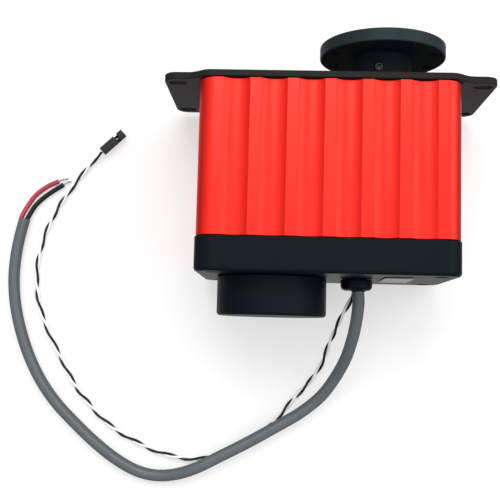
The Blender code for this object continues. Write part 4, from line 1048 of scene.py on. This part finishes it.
def cut_end(radius, bore, reach, depth, edge, bore_edge):
    """Rows of a sheath's cut end, with a hollow round what comes out of it."""
    corners = [(radius, 0.0), (radius, reach, edge), (bore, reach, bore_edge), (bore, -depth), (0.0, -depth)]
    return round_corners(corners)


def make_power_leads():
    """The grey cable with its cut end, and the stripped leads that come out of it."""
    route = smooth_route(extended(JACKET_ROUTE, before=IN_GLAND), 1.4)
    shell = Shell()
    mouth = cut_end(JACKET_RADIUS, bore=2.15, reach=0.5, depth=1.0, edge=0.2, bore_edge=0.1)
    shell.tube(route, JACKET_RADIUS, 28, mouth)
    jacket = shell.build("cable_sheath", "case", "cable_grey", "cable_jacket")
    mouth = cut_end(LEAD_RADIUS, bore=0.62, reach=0.2, depth=0.4, edge=0.15, bore_edge=0.05)
    middle = Vector(JACKET_ROUTE[-1])
    inwards = (middle - Vector(JACKET_ROUTE[-2])).normalized() * 1.6
    for name, node, slot, points in (
        ("red_wire", "red_lead", "wire_red", RED_ROUTE),
        ("black_wire", "black_lead", "wire_black", BLACK_ROUTE),
    ):
        # Each starts inside the cable, a little nearer to its middle.
        inner = middle + (Vector(points[0]) - middle) * 0.75 - inwards
        shell = Shell()
        shell.tube(smooth_route([inner, *points], 0.8), LEAD_RADIUS, 20, mouth)
        shell.build(name, "case", slot, node)
    make_strands("red_wire_strands", "red_lead_strands", RED_STRAND_ROUTE)
    make_strands("black_wire_strands", "black_lead_strands", BLACK_STRAND_ROUTE)


def turns_before(distance):
    """How many turns the pair has made since its first crossing, at a distance along it."""
    distance -= FIRST_CROSSING
    if distance < 0:
        return distance / TURN_LENGTHS[0]
    for count, length in enumerate(TURN_LENGTHS):
        if distance < length:
            return count + distance / length
        distance -= length
    return len(TURN_LENGTHS) + distance / TURN_LENGTHS[-1]


def make_signal_pair(plug):
    """The black and white wires, twisted round each other all the way to the plug."""
    route = smooth_route(extended(PAIR_ROUTE, before=IN_GLAND, after=0.2), 0.8)
    frames = carried_frames(route)
    shell = Shell()
    travelled = 0.0
    wires = ([], [])
    for index, (place, _, across, up) in enumerate(frames):
        if index:
            travelled += (place - frames[index - 1][0]).length
        turn = pi - 2 * pi * turns_before(travelled)
        aside = across * cos(turn) + up * sin(turn)
        wires[0].append(place + aside * WIRE_RADIUS)
        wires[1].append(place - aside * WIRE_RADIUS)
    for slot, wire in enumerate(wires):
        shell.slot = slot
        shell.tube(wire, WIRE_RADIUS - WIRE_GAP, 14)
    pair = shell.build("twisted_pair", "case", "wire_black", "signal_pair", "wire_black", "wire_white")


def box_mesh(name, boxes):
    """An object of plain boxes ((x, x), (y, y), (z, z)), in millimetres."""
    points, faces = [], []
    for xs, ys, zs in boxes:
        first = len(points)
        points += [(x * MM, y * MM, z * MM) for x in xs for y in ys for z in zs]
        quads = ((0, 1, 3, 2), (4, 6, 7, 5), (0, 4, 5, 1), (2, 3, 7, 6), (0, 2, 6, 4), (1, 5, 7, 3))
        faces += [[first + corner for corner in quad] for quad in quads]
    mesh = bpy.data.meshes.new(name)
    mesh.from_pydata(points, [], faces)
    return into_scene(name, mesh)


def ease_edges(piece):
    """Round a piece's edges a little."""
    ease = piece.modifiers.new("eased_edges", "BEVEL")
    ease.width = PLUG_EDGE
    ease.segments = 2
    return ease


def make_plug():
    """The two-way crimp plug: a housing with contact windows, edges eased, and its contacts."""
    housing = box_mesh("plug_housing", [((0.0, 12.7), (-1.35, 1.35), (0.0, 5.2))])
    # A window through one side, one in the top, and for each of the two ways one in the other side, the
    # opening that its wire goes in by and the one that its pin goes in by.
    windows = [((8.0, 9.8), (0.55, 2.0), (-1.0, 6.2)), ((8.3, 9.7), (-1.9, 0.45), (4.3, 6.0))]
    windows += [((8.3, 9.7), (-2.0, -0.55), (low, low + 1.9)) for low in (0.5, 2.8)]
    windows += [((-1.0, 1.2), (-0.75, 0.75), (low, low + 1.7)) for low in (0.65, 2.85)]
    windows += [((11.7, 14.0), (-0.45, 0.45), (low, low + 0.9)) for low in (0.95, 3.35)]
    cutter = box_mesh("plug_windows", windows)
    cut = housing.modifiers.new("windows", "BOOLEAN")
    cut.object = cutter
    cut.solver = "EXACT"
    cut.use_self = True
    ease = ease_edges(housing)
    ease.limit_method = "ANGLE"
    ease.harden_normals = True
    graph = bpy.context.evaluated_depsgraph_get()
    mesh = bpy.data.meshes.new_from_object(housing.evaluated_get(graph))
    bpy.data.objects.remove(housing)
    bpy.data.objects.remove(cutter)
    mesh.materials.clear()
    mesh.materials.append(LOOKS["plug_plastic"])
    mesh.materials.append(LOOKS["black_plastic"])
    # Upward faces take the lighter plastic and the rest the darker: painted light on the plug's top and
    # painted shade on its sides.
    for face in mesh.polygons:
        face.material_index = 0 if face.normal.z > 0.6 else 1
    place = Matrix.Translation((PLUG_START[0] * MM, PLUG_START[1] * MM, 0.0))
    place = place @ Matrix.Rotation(PLUG_TURN, 4, "Z")
    mesh.transform(place)
    plug = into_scene("crimp_plug", mesh)
    stand_in(plug, "case", "signal_plug")
    boxes = [((7.0, 10.4), (-0.8, 0.3), (low, low + 1.1)) for low in (0.9, 3.3)]
    contacts = box_mesh("plug_contacts", boxes)
    ease_edges(contacts)
    contacts.data.transform(place)
    contacts.data.materials.append(LOOKS["brass"])
    contacts.parent = plug
    return plug


# --- inside ---


def finish_cad_nodes():
    """Give each CAD node that stays its procedural material."""
    for subpart in frame["record"]["subparts"]:
        mesh = frame["nodes"][subpart["node"]].data
        for index in range(len(mesh.materials)):
            mesh.materials[index] = LOOKS[subpart["material_slot"]]


# --- the stage ---


def make_floor():
    """A large pale floor under the actuator."""
    size = 3.0
    corners = [(-size, -size, 0.0), (size, -size, 0.0), (size, size, 0.0), (-size, size, 0.0)]
    mesh = bpy.data.meshes.new("floor")
    mesh.from_pydata(corners, [], [(0, 1, 2, 3)])
    floor = into_scene("floor", mesh)
    # A hair below the actuator, so that the two don't share a plane.
    floor.location.z = -0.0001
    floor.visible_glossy = False
    material = bpy.data.materials.new("floor")
    material.use_nodes = True
    surface = material.node_tree.nodes["Principled BSDF"].inputs
    for name, value in (
        ("Base Color", (0.41, 0.41, 0.41, 1.0)), ("Roughness", 0.7), ("Specular IOR Level", 0.2),
        ("Emission Color", WHITE), ("Emission Strength", 0.49),
    ):
        surface[name].default_value = value
    mesh.materials.append(material)


def make_light(name, place, power):
    """A square soft light that faces the actuator."""
    light = bpy.data.lights.new(name, "AREA")
    light.shape = "RECTANGLE"
    light.size = light.size_y = LIGHT_SIZE
    light.energy = power
    obj = into_scene(name, light)
    obj.location = place
    obj.rotation_mode = "QUATERNION"
    obj.rotation_quaternion = (-Vector(place)).to_track_quat("-Z", "Y")


def maths(tree, operation, *values):
    """The result of a maths node on numbers and other nodes' outputs."""
    return add_node(tree, "Math", dict(enumerate(values)), operation=operation).outputs["Value"]


def make_studio():
    """A pale surround, brightest overhead and dim at the horizon, with soft lights from the upper right."""
    world = bpy.data.worlds.new("studio")
    world.use_nodes = True
    tree = world.node_tree
    way = add_node(tree, "TexCoord", {}).outputs["Generated"]
    parts = add_node(tree, "SeparateXYZ", {"Vector": way}).outputs
    height = maths(tree, "MAXIMUM", parts["Z"], 0.0)
    depth = maths(tree, "MINIMUM", parts["Z"], 0.0)
    right = maths(tree, "MULTIPLY", maths(tree, "MAXIMUM", parts["X"], 0.0), SKY_RIGHT)
    left = maths(tree, "MINIMUM", parts["X"], 0.0)
    walls = maths(tree, "MULTIPLY_ADD", left, -SKY_LEFT, right)
    level = maths(tree, "MULTIPLY_ADD", height, SKY_OVERHEAD, SKY_HORIZON)
    level = maths(tree, "MULTIPLY_ADD", walls, maths(tree, "POWER", height, WALL_RISE), level)
    level = maths(tree, "MULTIPLY_ADD", maths(tree, "MULTIPLY", depth, depth), SKY_BELOW, level)
    seen = add_node(tree, "LightPath", {}).outputs["Is Camera Ray"]
    shown = add_node(tree, "Mix", {"Factor": seen, "A": level, "B": BACKDROP}).outputs["Result"]
    background = tree.nodes["Background"].inputs
    tree.links.new(shown, background["Strength"])
    background["Color"].default_value = WHITE
    bpy.context.scene.world = world
    make_light("key", (-0.08, 0.62, 1.0), 8.0)
    make_light("side", (0.8, 0.35, 0.62), 3.5)
    bpy.context.scene.view_settings.view_transform = "Standard"


def make_camera():
    """The camera, above the actuator and looking down at it."""
    place = Vector(CAMERA_PLACE)
    way = (Vector(CAMERA_TARGET) - place).normalized()
    up = Vector((0.0, 1.0, 0.0))
    up = (up - way * up.dot(way)).normalized()
    up = Matrix.Rotation(CAMERA_ROLL, 3, -way) @ up
    data = bpy.data.cameras.new("camera")
    data.lens = CAMERA_LENS
    data.sensor_width = CAMERA_SENSOR
    data.clip_start = 0.01
    data.clip_end = 20.0
    camera = into_scene("camera", data)
    camera.location = place * MM
    camera.rotation_mode = "QUATERNION"
    camera.rotation_quaternion = Matrix((way.cross(up), up, -way)).transposed().to_quaternion()
    bpy.context.scene.camera = camera


def main():
    """Build every piece, the stage and the camera."""
    make_camera()
    make_power_leads()
    make_signal_pair(make_plug())
    make_gland()
    make_housing()
    make_plate()
    make_bottom_cap()
    make_motor_cap()
    make_label()
    make_screws()
    make_shaft()
    make_disc()
    make_set_screw()
    make_bearing()
    finish_cad_nodes()
    make_floor()
    make_studio()


main()
